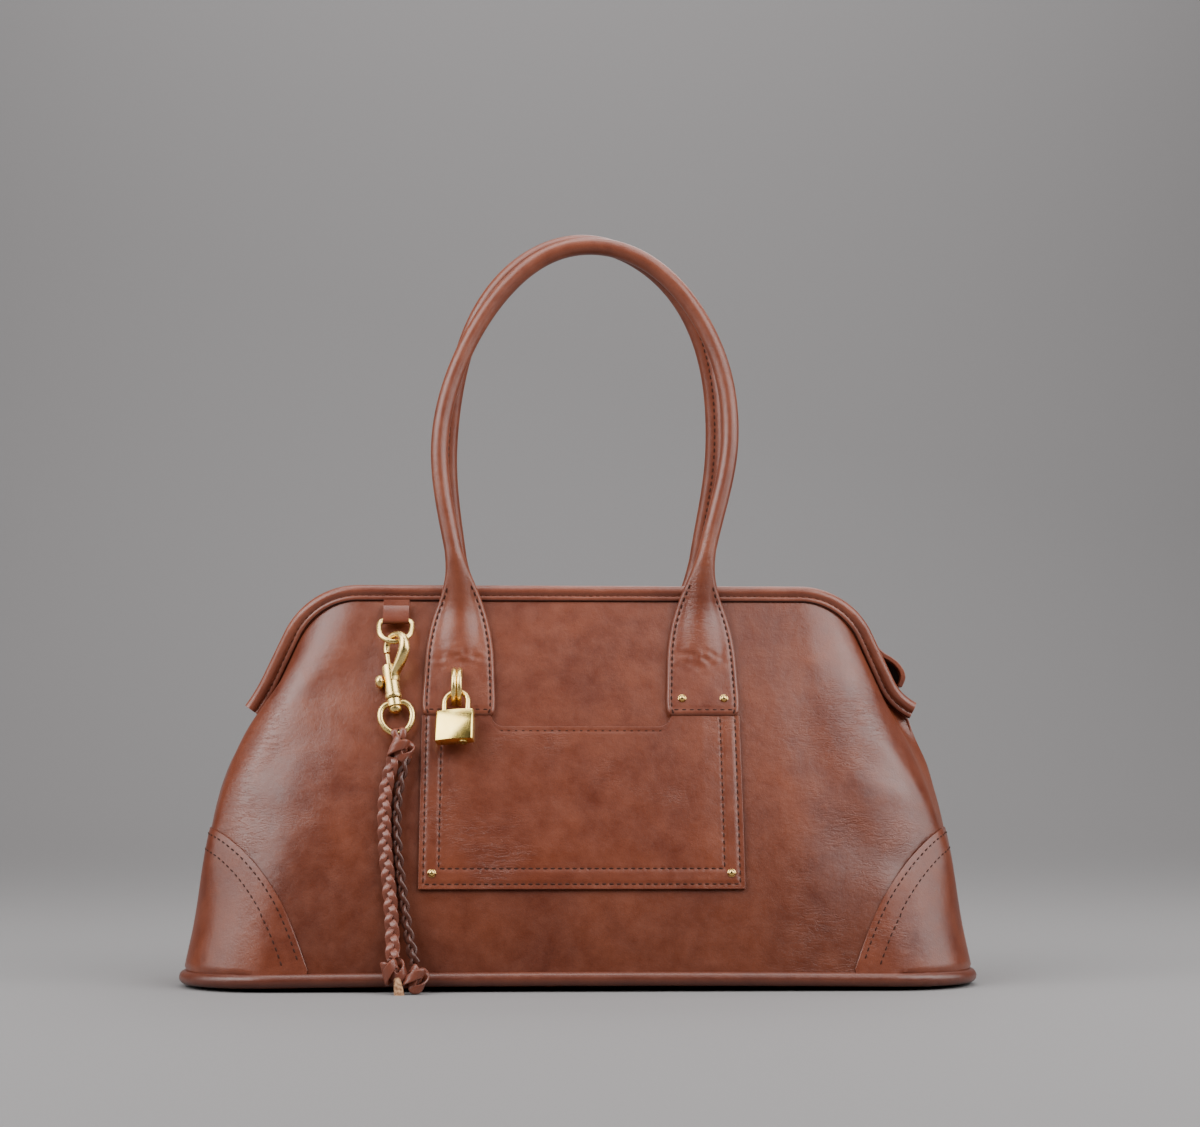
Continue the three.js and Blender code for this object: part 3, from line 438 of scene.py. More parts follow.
panel_leather = waxed_leather("panel_leather", LEATHER_DARK, LEATHER_LIGHT, crease=0.42, walls=True)
for name, node, wall in (("front_wall", "front_panel", front_wall), ("back_wall", "back_panel", back_wall)):
    fit_sheet(name, spread_grid(168, 56, wall), panel_leather, "leather", [node], PANEL_THICK)

# Base and piping: a shallow leather pan for the floor of the bag, and a leather-covered cord
# sewn all round between it and the walls. The piping's ends are lapped at the front corners.
PAN = [(HALF_DEPTH, 0), (40, 0), (20, 0), (14, 0.3), (9, 2.2), (4.2, 5.6)]
PAN_EVEN = 49
PAN_MIDDLE = 0.65
PAN_THICK = 2.4
PIPING_RADIUS = 3.7
PIPING_Z = 8.2
PIPING_HALF = 219
PIPING_LAPS = (0.1715, 0.8285)


def base_outline(turn, inset):
    """A point of the base's outline, turn 0 to 1 from the middle of the front."""
    quarter = min(3, int(turn * 4))
    share = turn * 4 - quarter
    distance = BASE_LENGTH * (1 - share if quarter % 2 else share)
    along, drop, heading = trace(BASE_PATH, distance)
    x = along - inset * math.sin(heading)
    y = HALF_DEPTH - drop - inset * math.cos(heading)
    return Vector((x if quarter < 2 else -x, -y if quarter in (0, 3) else y, 0))


def base_pan(u, v):
    """The pan from its middle line, v 0, to its edge; inside PAN_EVEN its rings close in on that line."""
    place = v * (len(PAN) - 1)
    ring = min(int(place), len(PAN) - 2)
    inset = mix(PAN[ring][0], PAN[ring + 1][0], place - ring)
    point = base_outline(u, min(inset, PAN_EVEN))
    if inset > PAN_EVEN:
        inner = (HALF_DEPTH - inset) / (HALF_DEPTH - PAN_EVEN)
        point.x *= mix(PAN_MIDDLE, 1, inner)
        point.y *= inner
    point.z = mix(PAN[ring][1], PAN[ring + 1][1], place - ring)
    return point


def piping_skin(u, v):
    angle = 2 * math.pi * v
    lap = max(math.exp(-((u - place) * 1700) ** 2) for place in PIPING_LAPS)
    radius = PIPING_RADIUS + 0.25 * lap
    point = base_outline(u, -radius * math.cos(angle))
    arch = 1.1 - 1.5 * (point.x / PIPING_HALF) ** 2
    point.z = PIPING_Z + arch + radius * math.sin(angle)
    return point


# The base leather is near-black as painted shade: the pan seen in the gap under the piping shows as the shadow under
# the bag.
base_leather_painted_shade = waxed_leather("base_leather_painted_shade", (0.012, 0.006, 0.005), (0.03, 0.012, 0.009), (3, 1, 2), 0.3)
fit_sheet("base_pan", spread_grid(160, 20, base_pan), base_leather_painted_shade, "leather", ["base_panel"], PAN_THICK)
piping_leather = waxed_leather("piping_leather", (0.072, 0.0155, 0.0082), (0.138, 0.036, 0.0175), (1, 4, 2),
                               0.3)
fit_piece("piping", spread_grid(420, 16, piping_skin), piping_leather, "leather", ["base_piping"])

# Corner patches: an arched leather reinforcement wrapped round each end, from front to back.
# Its lower edge goes into the piping seam and its arch is sewn down with two rows of thread.
PATCH_REACH = 125
PATCH_RISE = 76
PATCH_OFF = 1
PATCH_THICK = 0.8
PATCH_EDGE = 0.5
PATCH_ROWS = (3.2, 11.8)
STITCH_PITCH = 3.9
STITCH_HALF = (1.35, 0.48, 0.4)
patch_leather = waxed_leather("patch_leather", LEATHER_DARK, LEATHER_LIGHT, (5, 2, 1), 0.5)


def patch_edge(reach):
    return PATCH_RISE * max(0, 1 - abs(reach / PATCH_REACH) ** 3.6) ** 1.05


def patch_place(side, reach, rise):
    """Wall place of a point of the patch: reach along the base from the side seam, rise above it."""
    across = side * (1 - abs(reach) / BASE_LENGTH)
    height = wall_point(across, 1).z - BASE_SEAM_Z
    return across, rise / height


def corner_patch(side):
    def place(u, v):
        way = mix(-1, 1, u) * side
        reach = PATCH_REACH * 0.992 * math.copysign(1 - (1 - abs(way)) ** 1.35, way)
        across, up = patch_place(side, reach, mix(-2, max(-1.9, patch_edge(reach)), v))
        point = off_wall(across, up, PATCH_OFF - 0.25 * ease(v, 0.94, 1.0))
        if reach > 0:
            point.y = -point.y
        return point
    return place


for side, end in ((-1, "left"), (1, "right")):
    fit_sheet(f"patch_{end}", spread_grid(120, 24, corner_patch(side)), patch_leather, "leather",
              [f"corner_patch_{end}"], PATCH_THICK, PATCH_EDGE)


def waxed_thread(name, dark, light):
    strand = new_finish(name, Roughness=0.8, Specular_IOR_Level=0.2)
    twist = cloudy(strand, object_place(strand), 2600.0)
    return dress(strand, Base_Color=two_tone(strand, shade_range(strand, twist, 0.35, 0.65), dark, light))


thread = waxed_thread("dark_thread", (0.025, 0.008, 0.005), (0.055, 0.017, 0.01))
stitch = bmesh.new()
lying = Matrix.Rotation(math.pi / 2, 4, "Y")
bmesh.ops.create_uvsphere(stitch, u_segments=6, v_segments=5, radius=1, matrix=lying)
bmesh.ops.scale(stitch, vec=STITCH_HALF, verts=stitch.verts)
one_stitch = bake_mesh("one_stitch", stitch)


def stamp(bm, shape, seat):
    """Sets a copy of a small shape into a mesh."""
    copy = shape.copy()
    copy.transform(seat)
    bm.from_mesh(copy)
    bpy.data.meshes.remove(copy)


def stitch_row(bm, line):
    """Lays stitches along a line of points and surface normals."""
    run = [0]
    for (a, _), (b, _) in zip(line, line[1:]):
        run.append(run[-1] + (b - a).length)
    count = max(1, int(run[-1] / STITCH_PITCH))
    leg = 0
    for k in range(count):
        middle = (k + 0.5) * run[-1] / count
        while run[leg + 1] < middle:
            leg += 1
        share = (middle - run[leg]) / (run[leg + 1] - run[leg])
        place = line[leg][0].lerp(line[leg + 1][0], share)
        up = line[leg][1].lerp(line[leg + 1][1], share).normalized()
        ahead = line[leg + 1][0] - line[leg][0]
        ahead = (ahead - up * ahead.dot(up)).normalized()
        turned = Matrix((ahead, up.cross(ahead), up)).transposed().to_4x4()
        stamp(bm, one_stitch, Matrix.Translation(place) @ turned)


def step_in(side, reach, inwards):
    """Wall place a distance inside the patch's arched edge."""
    near = 0.002
    across, up = patch_place(side, reach, patch_edge(reach))
    onward = Vector(patch_place(side, reach + 0.5, patch_edge(reach + 0.5))) - Vector((across, up))
    grain_x = (wall_point(min(1, across + near), up) - wall_point(across - near, up)) / (2 * near)
    grain_z = (wall_point(across, up + near) - wall_point(across, up - near)) / (2 * near)
    along = (grain_x * onward.x + grain_z * onward.y).normalized()
    inner = wall_normal(across, up).cross(along).normalized()
    if inner.z > 0:
        inner = -inner
    skew = grain_x.dot(grain_z)
    spread = grain_x.length_squared * grain_z.length_squared - skew ** 2
    share_x = (inner.dot(grain_x) * grain_z.length_squared - inner.dot(grain_z) * skew) / spread
    share_z = (inner.dot(grain_z) * grain_x.length_squared - inner.dot(grain_x) * skew) / spread
    return across + share_x * inwards, up + share_z * inwards


patch_rows = bmesh.new()
for side in (-1, 1):
    for turn_round in (Vector((1, 1, 1)), Vector((1, -1, 1))):
        for inset in PATCH_ROWS:
            row = []
            for k in range(60):
                across, up = step_in(side, mix(0.6, PATCH_REACH * 0.985, k / 59), inset)
                if up >= 0.012 and abs(across) <= 1:
                    seat = off_wall(across, up, PATCH_OFF - 0.05)
                    row.append((seat * turn_round, wall_normal(across, up) * turn_round))
            stitch_row(patch_rows, row)
fit_piece("patch_stitching", patch_rows, thread, "leather")

# Rim: a rolled leather binding over the top edge of each wall, with a flat lip under a stitch groove.
# It follows the dome of the zip top and ends in a free ear at each side.
RIM_SECTION = [
    (0.3, 2.1), (1.3, 2.5), (2.2, 2.5), (2.8, 2.1), (3.3, 2.5), (4.1, 3.4), (5.3, 3.9), (6.7, 3.9),
    (8.1, 3.4), (9.2, 2.4), (9.8, 1.2), (10.0, 0.0), (9.8, -1.1), (9.1, -2.0), (8.0, -2.4), (5.0, -2.4),
    (2.0, -2.4), (0.3, -2.3),
]
RIM_SIDES = 40
RIM_STEPS = 240
RIM_LEAN = math.radians(20)
RIM_GAP = 17
EAR_GAP = 3.6
RIM_JOIN = -110.5
RIM_GROOVE = 2.95
GROOVE_FLOOR = 2.25


def rim_frame(distance):
    """Seam point on the middle plane, outward direction, half gap and lean along the rim."""
    side = -1 if distance < 0 else 1
    along, drop, heading = trace(RIM_PATH[side], abs(distance))
    to_ear = ease(abs(distance), RIM_TOP_HALF, RIM_REACH[side])
    seam = Vector((side * along, 0, RIM_SEAM_Z - drop))
    outwards = Vector((side * math.sin(heading), 0, math.cos(heading)))
    return seam, outwards, mix(RIM_GAP, EAR_GAP, to_ear), RIM_LEAN * (1 - to_ear)


def rim_point(distance, rise, out):
    seam, outwards, gap, lean = rim_frame(distance)
    point = seam + outwards * (rise * math.cos(lean) + out * math.sin(lean))
    point.y = rise * math.sin(lean) - out * math.cos(lean) - gap
    return point


def smooth_line(points, count, closed=False):
    """Evenly spread points on a rounded line through some points."""
    points = [Vector(point) for point in points]
    if closed:
        ring = [points[-1], *points, points[0], points[1]]
    else:
        ring = [points[0] * 2 - points[1], *points, points[-1] * 2 - points[-2]]
    dense = []
    for a, b, c, d in zip(ring, ring[1:], ring[2:], ring[3:]):
        t1 = max((b - a).length ** 0.5, 1e-4)
        t2 = t1 + max((c - b).length ** 0.5, 1e-4)
        t3 = t2 + max((d - c).length ** 0.5, 1e-4)
        for k in range(24):
            t = mix(t1, t2, k / 24)
            ab = a.lerp(b, t / t1)
            bc = b.lerp(c, (t - t1) / (t2 - t1))
            cd = c.lerp(d, (t - t2) / (t3 - t2))
            dense.append(ab.lerp(bc, t / t2).lerp(bc.lerp(cd, (t - t1) / (t3 - t1)), (t - t1) / (t2 - t1)))
    dense.append(ring[-2].copy())
    run = [0]
    for a, b in zip(dense, dense[1:]):
        run.append(run[-1] + (b - a).length)
    even = []
    leg = 0
    for k in range(count):
        goal = run[-1] * k / (count if closed else count - 1)
        while leg < len(run) - 2 and run[leg + 1] < goal:
            leg += 1
        step = run[leg + 1] - run[leg]
        even.append(dense[leg].lerp(dense[leg + 1], (goal - run[leg]) / step if step else 0))
    return even


def close_ends(bm):
    bmesh.ops.remove_doubles(bm, verts=bm.verts, dist=0.004)
    bmesh.ops.holes_fill(bm, edges=bm.edges, sides=0)
    return bm


def take_in(bm, other):
    """Takes another shape into a mesh."""
    mesh = bake_mesh("taken_in", other)
    bm.from_mesh(mesh)
    bpy.data.meshes.remove(mesh)


def along_rim(u):
    return mix(-RIM_REACH[-1], RIM_REACH[1], u)


rim_round = smooth_line([(rise, out, 0) for rise, out in RIM_SECTION], RIM_SIDES, closed=True)


def rim_skin(u, v):
    distance = along_rim(u)
    corner = rim_round[round(v * RIM_SIDES) % RIM_SIDES]
    lap = 0.3 * math.exp(-((distance - RIM_JOIN) / 1.2) ** 2) * (1 if corner.x > 3 else 0)
    swell = 0.18 * noise.noise(Vector((distance * 0.06, corner.x * 0.2, 2.2)))
    return rim_point(distance, corner.x, corner.y + (lap + swell) * (1 if corner.y > 0 else 0))


# A thin dark line along the lip's lower edge: the cut edge's dark paint, and painted shade for the shadow of the seam
# under the lip.
def dark_edge_line_and_seam_shade(u, v):
    angle = 2 * math.pi * v
    return rim_point(along_rim(u), 0.3 + 0.45 * math.sin(angle), 1.5 + 0.5 * math.cos(angle))


rim_leather = waxed_leather("rim_leather", (0.12, 0.027, 0.014), (0.23, 0.063, 0.031), (2, 2, 6), 0.35)
rim_thread = waxed_thread("rim_thread", (0.06, 0.016, 0.009), (0.14, 0.04, 0.02))
rim_dark_edge_and_shade = new_finish("edge_paint_and_seam_shade", Base_Color=(0.03, 0.009, 0.006, 1), Roughness=0.7,
                       Specular_IOR_Level=0.2)
rim_edges = bmesh.new()
rim_rows = bmesh.new()
for name, node, face in (("rim_front", "front_rim", 1), ("rim_back", "back_rim", -1)):
    turn_round = Vector((1, face, 1))
    rim = close_ends(spread_grid(RIM_STEPS, RIM_SIDES, rim_skin))
    bmesh.ops.scale(rim, vec=turn_round, verts=rim.verts)
    fit_piece(name, rim, rim_leather, "leather", [node])
    edge = close_ends(spread_grid(RIM_STEPS, 8, dark_edge_line_and_seam_shade))
    bmesh.ops.scale(edge, vec=turn_round, verts=edge.verts)
    take_in(rim_edges, edge)
    row = []
    for k in range(RIM_STEPS + 1):
        distance = mix(1.5 - RIM_REACH[-1], RIM_REACH[1] - 1.5, k / RIM_STEPS)
        seat = rim_point(distance, RIM_GROOVE, GROOVE_FLOOR)
        top = (rim_point(distance, RIM_GROOVE, GROOVE_FLOOR + 1) - seat).normalized()
        row.append((seat * turn_round, top * turn_round))
    stitch_row(rim_rows, row)
fit_piece("rim_stitching", rim_rows, rim_thread, "leather")
fit_piece("rim_edge", rim_edges, rim_dark_edge_and_shade, "leather")

# Zip: two woven tapes sewn inside the rims, brass teeth between them and a slider with a pull.
# The photographed bag hides it behind the front rim, so it is a plain metal zip of the usual size.
ZIP_BED = 5
TAPE_ENDS = (-198, 158)
TAPE_THICK = 1.2
SLIT_HALF = 1.2
SLIT_SHUT = 0.15
CHAIN_HALF = 156
TOOTH_SIZE = (1.5, 4.2, 2.2, 1)
TOOTH_PITCH = 2.6
TOOTH_STAGGER = 0.7
zip_tape = new_finish("zip_tape", Roughness=0.85)
tape_place = object_place(zip_tape)
tape_ribs = add_node(zip_tape, "TexWave", {
    "Vector": tape_place, "Scale": 330.0, "Distortion": 0.6, "Detail": 2.0}, "Fac", bands_direction="X")
tape_warp = add_node(zip_tape, "TexWave", {
    "Vector": tape_place, "Scale": 420.0, "Distortion": 0.4}, "Fac", bands_direction="Y")
tape_weave = reckon(zip_tape, "MULTIPLY", tape_ribs, tape_warp)
dress(zip_tape, Base_Color=two_tone(zip_tape, tape_weave, (0.022, 0.011, 0.008), (0.07, 0.035, 0.024)),
      Normal=raised(zip_tape, tape_weave, 0.5, 0.0004))


def zip_point(distance, rise, y):
    seam, outwards, _, _ = rim_frame(distance)
    point = seam + outwards * rise
    point.y = y
    return point


def zip_side(face):
    """One tape, from the rim's inner side to the slit; past the chain's left end the slit is shut."""
    def place(u, v):
        distance = mix(*TAPE_ENDS, u if face > 0 else 1 - u)
        _, _, gap, lean = rim_frame(distance)
        rise = ZIP_BED + 1.5 - 0.5 * math.sin(math.pi * v)
        edge = max(1.4, gap - rise * math.tan(lean) - 2.4 / math.cos(lean) - 0.3)
        inner = mix(SLIT_HALF, SLIT_SHUT, ease(-distance, CHAIN_HALF + 2, CHAIN_HALF + 8))
        return zip_point(distance, rise, -face * mix(edge, inner, v))
    return place


for name, node, face in (("tape_front", "zip_tape_front", 1), ("tape_back", "zip_tape_back", -1)):
    fit_sheet(name, spread_grid(120, 8, zip_side(face)), zip_tape, "zip_tape", [node], TAPE_THICK)


def satin_brass(name, rough, tone):
    """Brushed and lacquered brass plate: warm colour with slow tarnish and fine brush marks."""
    plate = new_finish(name, Metallic=1.0)
    place = object_place(plate)
    tarnish = shade_range(plate, cloudy(plate, place, 160.0, 3.0), 0.35, 0.7)
    dull = (tone[0] * 0.86, tone[1] * 0.8, tone[2] * 0.7)
    brush = cloudy(plate, add_node(plate, "Mapping", {"Vector": place, "Scale": (300, 300, 4200)}), 1.0)
    return dress(plate, Base_Color=two_tone(plate, tarnish, tone, dull),
                 Roughness=shade_range(plate, brush, 0.3, 0.7, rough - 0.03, rough + 0.04),
                 Normal=raised(plate, brush, 0.02, 0.0001))


def round_edges(bm, edges, radius, steps):
    bmesh.ops.bevel(bm, geom=edges, offset=radius, segments=steps, profile=0.5, affect="EDGES",
                    material=-1)


zip_brass = satin_brass("zip_brass", 0.32, (0.62, 0.47, 0.22))
tooth = bmesh.new()
bmesh.ops.create_cube(tooth, size=1, matrix=Matrix.Diagonal(TOOTH_SIZE))
round_edges(tooth, tooth.edges[:], 0.35, 1)
one_tooth = bake_mesh("one_tooth", tooth)
teeth = bmesh.new()
for k in range(int(2 * CHAIN_HALF / TOOTH_PITCH)):
    seam, outwards, _, _ = rim_frame(k * TOOTH_PITCH - CHAIN_HALF)
    ahead = Vector((outwards.z, 0, -outwards.x))
    turned = Matrix((ahead, Vector((0, 1, 0)), outwards)).transposed().to_4x4()
    sideways = Vector((0, TOOTH_STAGGER if k % 2 else -TOOTH_STAGGER, 0))
    stamp(teeth, one_tooth, Matrix.Translation(seam + outwards * (ZIP_BED + 0.9) + sideways) @ turned)
fit_piece("zip_teeth", teeth, zip_brass, "zip_chain", ["zip_chain"])

SLIDER_PLACE = (110, 0, 223.1)
SLIDER_SIZE = (11, 8.4, 1.9, 1)
PULL_PLACE = (-13, 0, 0.45)
PULL_SIZE = (23, 6, 1, 1)
brass = satin_brass("satin_brass", 0.27, (0.87, 0.64, 0.25))
slider = bmesh.new()
bmesh.ops.create_cube(slider, size=1, matrix=Matrix.Diagonal(SLIDER_SIZE))
round_edges(slider, slider.edges[:], 0.7, 3)
pull_seat = Matrix.Translation(PULL_PLACE) @ Matrix.Diagonal(PULL_SIZE)
pull = bmesh.ops.create_cube(slider, size=1, matrix=pull_seat)
round_edges(slider, list({edge for vert in pull["verts"] for edge in vert.link_edges}), 0.45, 2)
bmesh.ops.translate(slider, vec=SLIDER_PLACE, verts=slider.verts)
fit_piece("zip_pull", slider, brass, "brass", ["zip_slider"])

TAIL_ROUTE = [
    (150, 8.4), (158, 8.9), (166, 9), (174, 9.4), (180, 11.4), (184, 14), (188, 16), (193, 17),
    (197.5, 16.2), (201.5, 13.8), (203.5, 11.4),
]
TAIL_STEPS = 39
TAIL_HALF = 5.2
TAIL_THICK = 2.6
FOLD_RISE = 3
FOLD_HALF = 1.6
tail_line = smooth_line([zip_point(distance, rise, 0) for distance, rise in TAIL_ROUTE], TAIL_STEPS + 1)
fold_line = smooth_line([zip_point(distance, FOLD_RISE, 0) for distance, _ in TAIL_ROUTE], TAIL_STEPS + 1)


def heading_at(line, k):
    return (line[min(k + 1, len(line) - 1)] - line[max(k - 1, 0)]).normalized()


def tail_strip(u, v):
    k = round(u * TAIL_STEPS)
    ahead = heading_at(tail_line, k)
    width = TAIL_HALF - 1.6 * ease(u, 0.9, 1.0)
    return tail_line[k] + Vector((-ahead.z, 0, ahead.x)) + Vector((0, mix(-width, width, v), 0))


def tape_end(u, v):
    k = round(u * TAIL_STEPS)
    return fold_line[k].lerp(tail_line[k], v) + Vector((0, FOLD_HALF, 0))


fit_sheet("zip_tail", spread_grid(TAIL_STEPS, 10, tail_strip), rim_leather, "leather", ["zip_tail_tab"],
          TAIL_THICK, 0.5)
fit_sheet("zip_tape_end", spread_grid(TAIL_STEPS, 4, tape_end), zip_tape, "zip_tape", [], 1)

# Pocket: a flat patch of the panels' waxed leather on the front, its mouth lowered between the handle tabs.
# It is sewn down with two rows of stitching round its sides and foot, and one row runs along the mouth.
POCKET_HALF = 87.5
POCKET_FOOT = 56
POCKET_TOP = 149.6
POCKET_MOUTH = 143.5
POCKET_OFF = 0.3
POCKET_RISE = 1.8
POCKET_THICK = 1.6
POCKET_EDGE = 0.5
MOUTH_FLAT = 42.5
MOUTH_RADIUS = 7
MOUTH_ROW = 2.4
MOUTH_ROW_HALF = 48.4
POCKET_ROWS = (2.6, 10.8)
GROOVE_HALF = 0.75


def front_y(z):
    return wall_point(0, (z - BASE_SEAM_Z) / (RIM_SEAM_Z - BASE_SEAM_Z)).y


def front_slope(z):
    return Vector((0, -2, front_y(z + 1) - front_y(z - 1))).normalized()


def pocket_top(x):
    past = abs(x) - MOUTH_FLAT
    if past <= 0:
        return POCKET_MOUTH
    if past >= MOUTH_RADIUS:
        return POCKET_TOP
    return min(POCKET_MOUTH + MOUTH_RADIUS - math.sqrt(MOUTH_RADIUS ** 2 - past ** 2), POCKET_TOP)


def groove(off):
    return math.exp(-(off / GROOVE_HALF) ** 2)


def pocket_lift(x, z):
    """Height of the pocket's face: puffed between the rows, pinched at each stitch along a row."""
    inset = min(POCKET_HALF - abs(x), z - POCKET_FOOT)
    along = x if z - POCKET_FOOT < POCKET_HALF - abs(x) else z
    pinch = 0.17 + 0.13 * math.cos(2 * math.pi * along / STITCH_PITCH)
    drawn = sum(groove(inset - row) for row in POCKET_ROWS)
    drawn += groove(pocket_top(x) - z - MOUTH_ROW) * (1 - ease(abs(x), 46, 50))
    puff = ease(inset, 2.6, 5) * (1 - ease(inset, 8.4, 10.8))
    return POCKET_RISE + 0.22 * puff - pinch * drawn + 0.3 * ease(inset, 11, 22)


def pocket_face(u, v):
    way = mix(-1, 1, u)
    x = POCKET_HALF * math.copysign(1 - (1 - abs(way)) ** 1.25, way)
    z = mix(POCKET_FOOT, pocket_top(x), v)
    return Vector((x, front_y(z) - POCKET_OFF - pocket_lift(x, z), z))


def on_pocket(x, z):
    return Vector((x, front_y(z) - POCKET_OFF - POCKET_RISE + 0.15, z)), front_slope(z)


pocket_leather = waxed_leather("pocket_leather", LEATHER_DARK, LEATHER_LIGHT, (7, 3, 4), 0.5)
fit_sheet("pocket", spread_grid(240, 130, pocket_face), pocket_leather, "leather", ["front_pocket"],
          POCKET_THICK, POCKET_EDGE)
pocket_rows = bmesh.new()
for inset in POCKET_ROWS:
    side_x = POCKET_HALF - inset
    foot_z = POCKET_FOOT + inset
    for side in (-1, 1):
        down = [mix(POCKET_TOP - 1, foot_z, k / 40) for k in range(41)]
        stitch_row(pocket_rows, [on_pocket(side * side_x, z) for z in down])
    stitch_row(pocket_rows, [on_pocket(mix(-side_x, side_x, k / 60), foot_z) for k in range(61)])
mouth = [mix(-MOUTH_ROW_HALF, MOUTH_ROW_HALF, k / 80) for k in range(81)]
stitch_row(pocket_rows, [on_pocket(x, pocket_top(x) - MOUTH_ROW) for x in mouth])
fit_piece("pocket_stitching", pocket_rows, thread, "leather")

# Handles: a round roll of leather over cord, opened out flat into a sewn tab at each end.
# The roll's long edges meet in a stitched seam on the side that faces the other handle.
TAB_X = 67.5
TAB_OFF = 0.3
OVER_RIM = 20.2
GRIP = 10
ARCH_FOOT = 308
HANDLE_LIFT = 238
TAB_SECTIONS = [
    (149.9, 34.4, 1.2), (150.2, 36.6, 2.3), (150.9, 38.3, 3.1), (152.4, 39.4, 3.4), (157, 40, 3.5),
    (166, 39.4, 3.8), (176, 38.6, 4.4), (185, 37.6, 5.1), (193, 35.6, 5.8), (199, 33.4, 6.3),
    (204, 31, 6.8), (209, 28, 7.4), (214, 24.5, 8), (219.5, 20.6, 8.6), (225, 17, 9.2), (231, 13.6, 9.7),
    (HANDLE_LIFT, 11.2, 10),
]
TAB_FOOT = TAB_SECTIONS[0][0]
TAB_FLAT = 3.3
TAB_ROW = 2.5
FOOT_ROW_Z = 152.9
FOOT_ROW_HALF = 17
TAB_STEPS = 84
ARCH_STEPS = 72
HANDLE_SIDES = 88
HANDLES = {
    "front": {"top": 424.8, "half": 82.8, "lean": 5, "skew": 1.6, "shoulders": (3.4, -0.8)},
    "back": {"top": 429.4, "half": 78, "lean": 3, "skew": -1, "shoulders": (-2.2, 3.6)},
}
tab_line = smooth_line(TAB_SECTIONS, TAB_STEPS)


def tab_back_y(z):
    """Back of the tab: it lies on the wall, then bends smoothly out over the rim."""
    wall = -front_y(min(z, RIM_SEAM_Z))
    return -TAB_OFF - (wall + OVER_RIM + math.sqrt((wall - OVER_RIM) ** 2 + 9)) / 2


def handle_stations(top, half, lean, skew, shoulders):
    """Centre, width and thickness along a handle, from the right tab over to the left one."""
    lift_y = tab_back_y(HANDLE_LIFT) - GRIP / 2

    def grip(x, z):
        climb = (z - HANDLE_LIFT) / (top - HANDLE_LIFT)
        leaned = x + lean * ease(z, HANDLE_LIFT, 365)
        return Vector((leaned, mix(lift_y, -GRIP / 2 - 0.4, climb), z)), GRIP, GRIP

    def leg_x(z):
        return mix(TAB_X, half, ease(z, 210, ARCH_FOOT))

    def leg(side):
        tab = [(Vector((side * leg_x(z), tab_back_y(z) - thick / 2, z)), width, thick)
               for z, width, thick in tab_line]
        return tab + [grip(side * leg_x(z), z) for z in range(244, 307, 6)]

    arch = []
    for k in range(ARCH_STEPS + 1):
        angle = math.pi * k / ARCH_STEPS
        z = ARCH_FOOT + (top - ARCH_FOOT) * math.sin(angle)
        shoulder = shoulders[0 if k > ARCH_STEPS / 2 else 1] * math.sin(2 * angle) ** 2
        arch.append(grip(half * math.cos(angle) + skew * math.sin(angle) ** 2 + shoulder, z))
    return leg(1) + arch + leg(-1)[::-1]


def handle_section(width, thick, angle, x, z):
    """Sideways and outward place on the section: a round roll that opens into a crowned flat tab."""
    roll = ease(z, 200, HANDLE_LIFT)
    sideways = math.cos(angle)
    inset = (1 - abs(sideways)) * width / 2
    flat = min(TAB_FLAT, thick)
    side = math.sqrt(1 - max(0, 1 - inset / 1.6) ** 2) * flat / 2
    if math.sin(angle) < 0:
        return sideways * width / 2, mix(-side - (thick - flat) / 2, math.sin(angle) * thick / 2, roll)
    ridge = max(0, 1 - (sideways / 0.62) ** 2) ** 1.5
    crown = (thick - flat) * (0.45 * (1 - sideways ** 2) + 0.55 * ridge)
    pinch = 0.28 + 0.16 * math.cos(2 * math.pi * z / STITCH_PITCH)
    foot = z - TAB_FOOT
    sewn = groove(inset - TAB_ROW) * ease(foot, 1.5, 3)
    sewn = max(sewn, groove(foot - (FOOT_ROW_Z - TAB_FOOT)) * ease(inset, 1.5, TAB_ROW))
    fold = math.exp(-((z - 182) / 6) ** 2) * max(0, 1 - sideways ** 2)
    crease = fold * noise.noise(Vector((sideways * 4.5 + x, z * 0.4, 1.3)))
    dip = math.exp(-((z - 177) / 7) ** 2) * math.exp(-(sideways / 0.4) ** 2)
    tab = side - (thick - flat) / 2 + crown - pinch * sewn + 0.9 * crease - 0.7 * dip
    return sideways * width / 2, mix(tab, math.sin(angle) * thick / 2, roll)


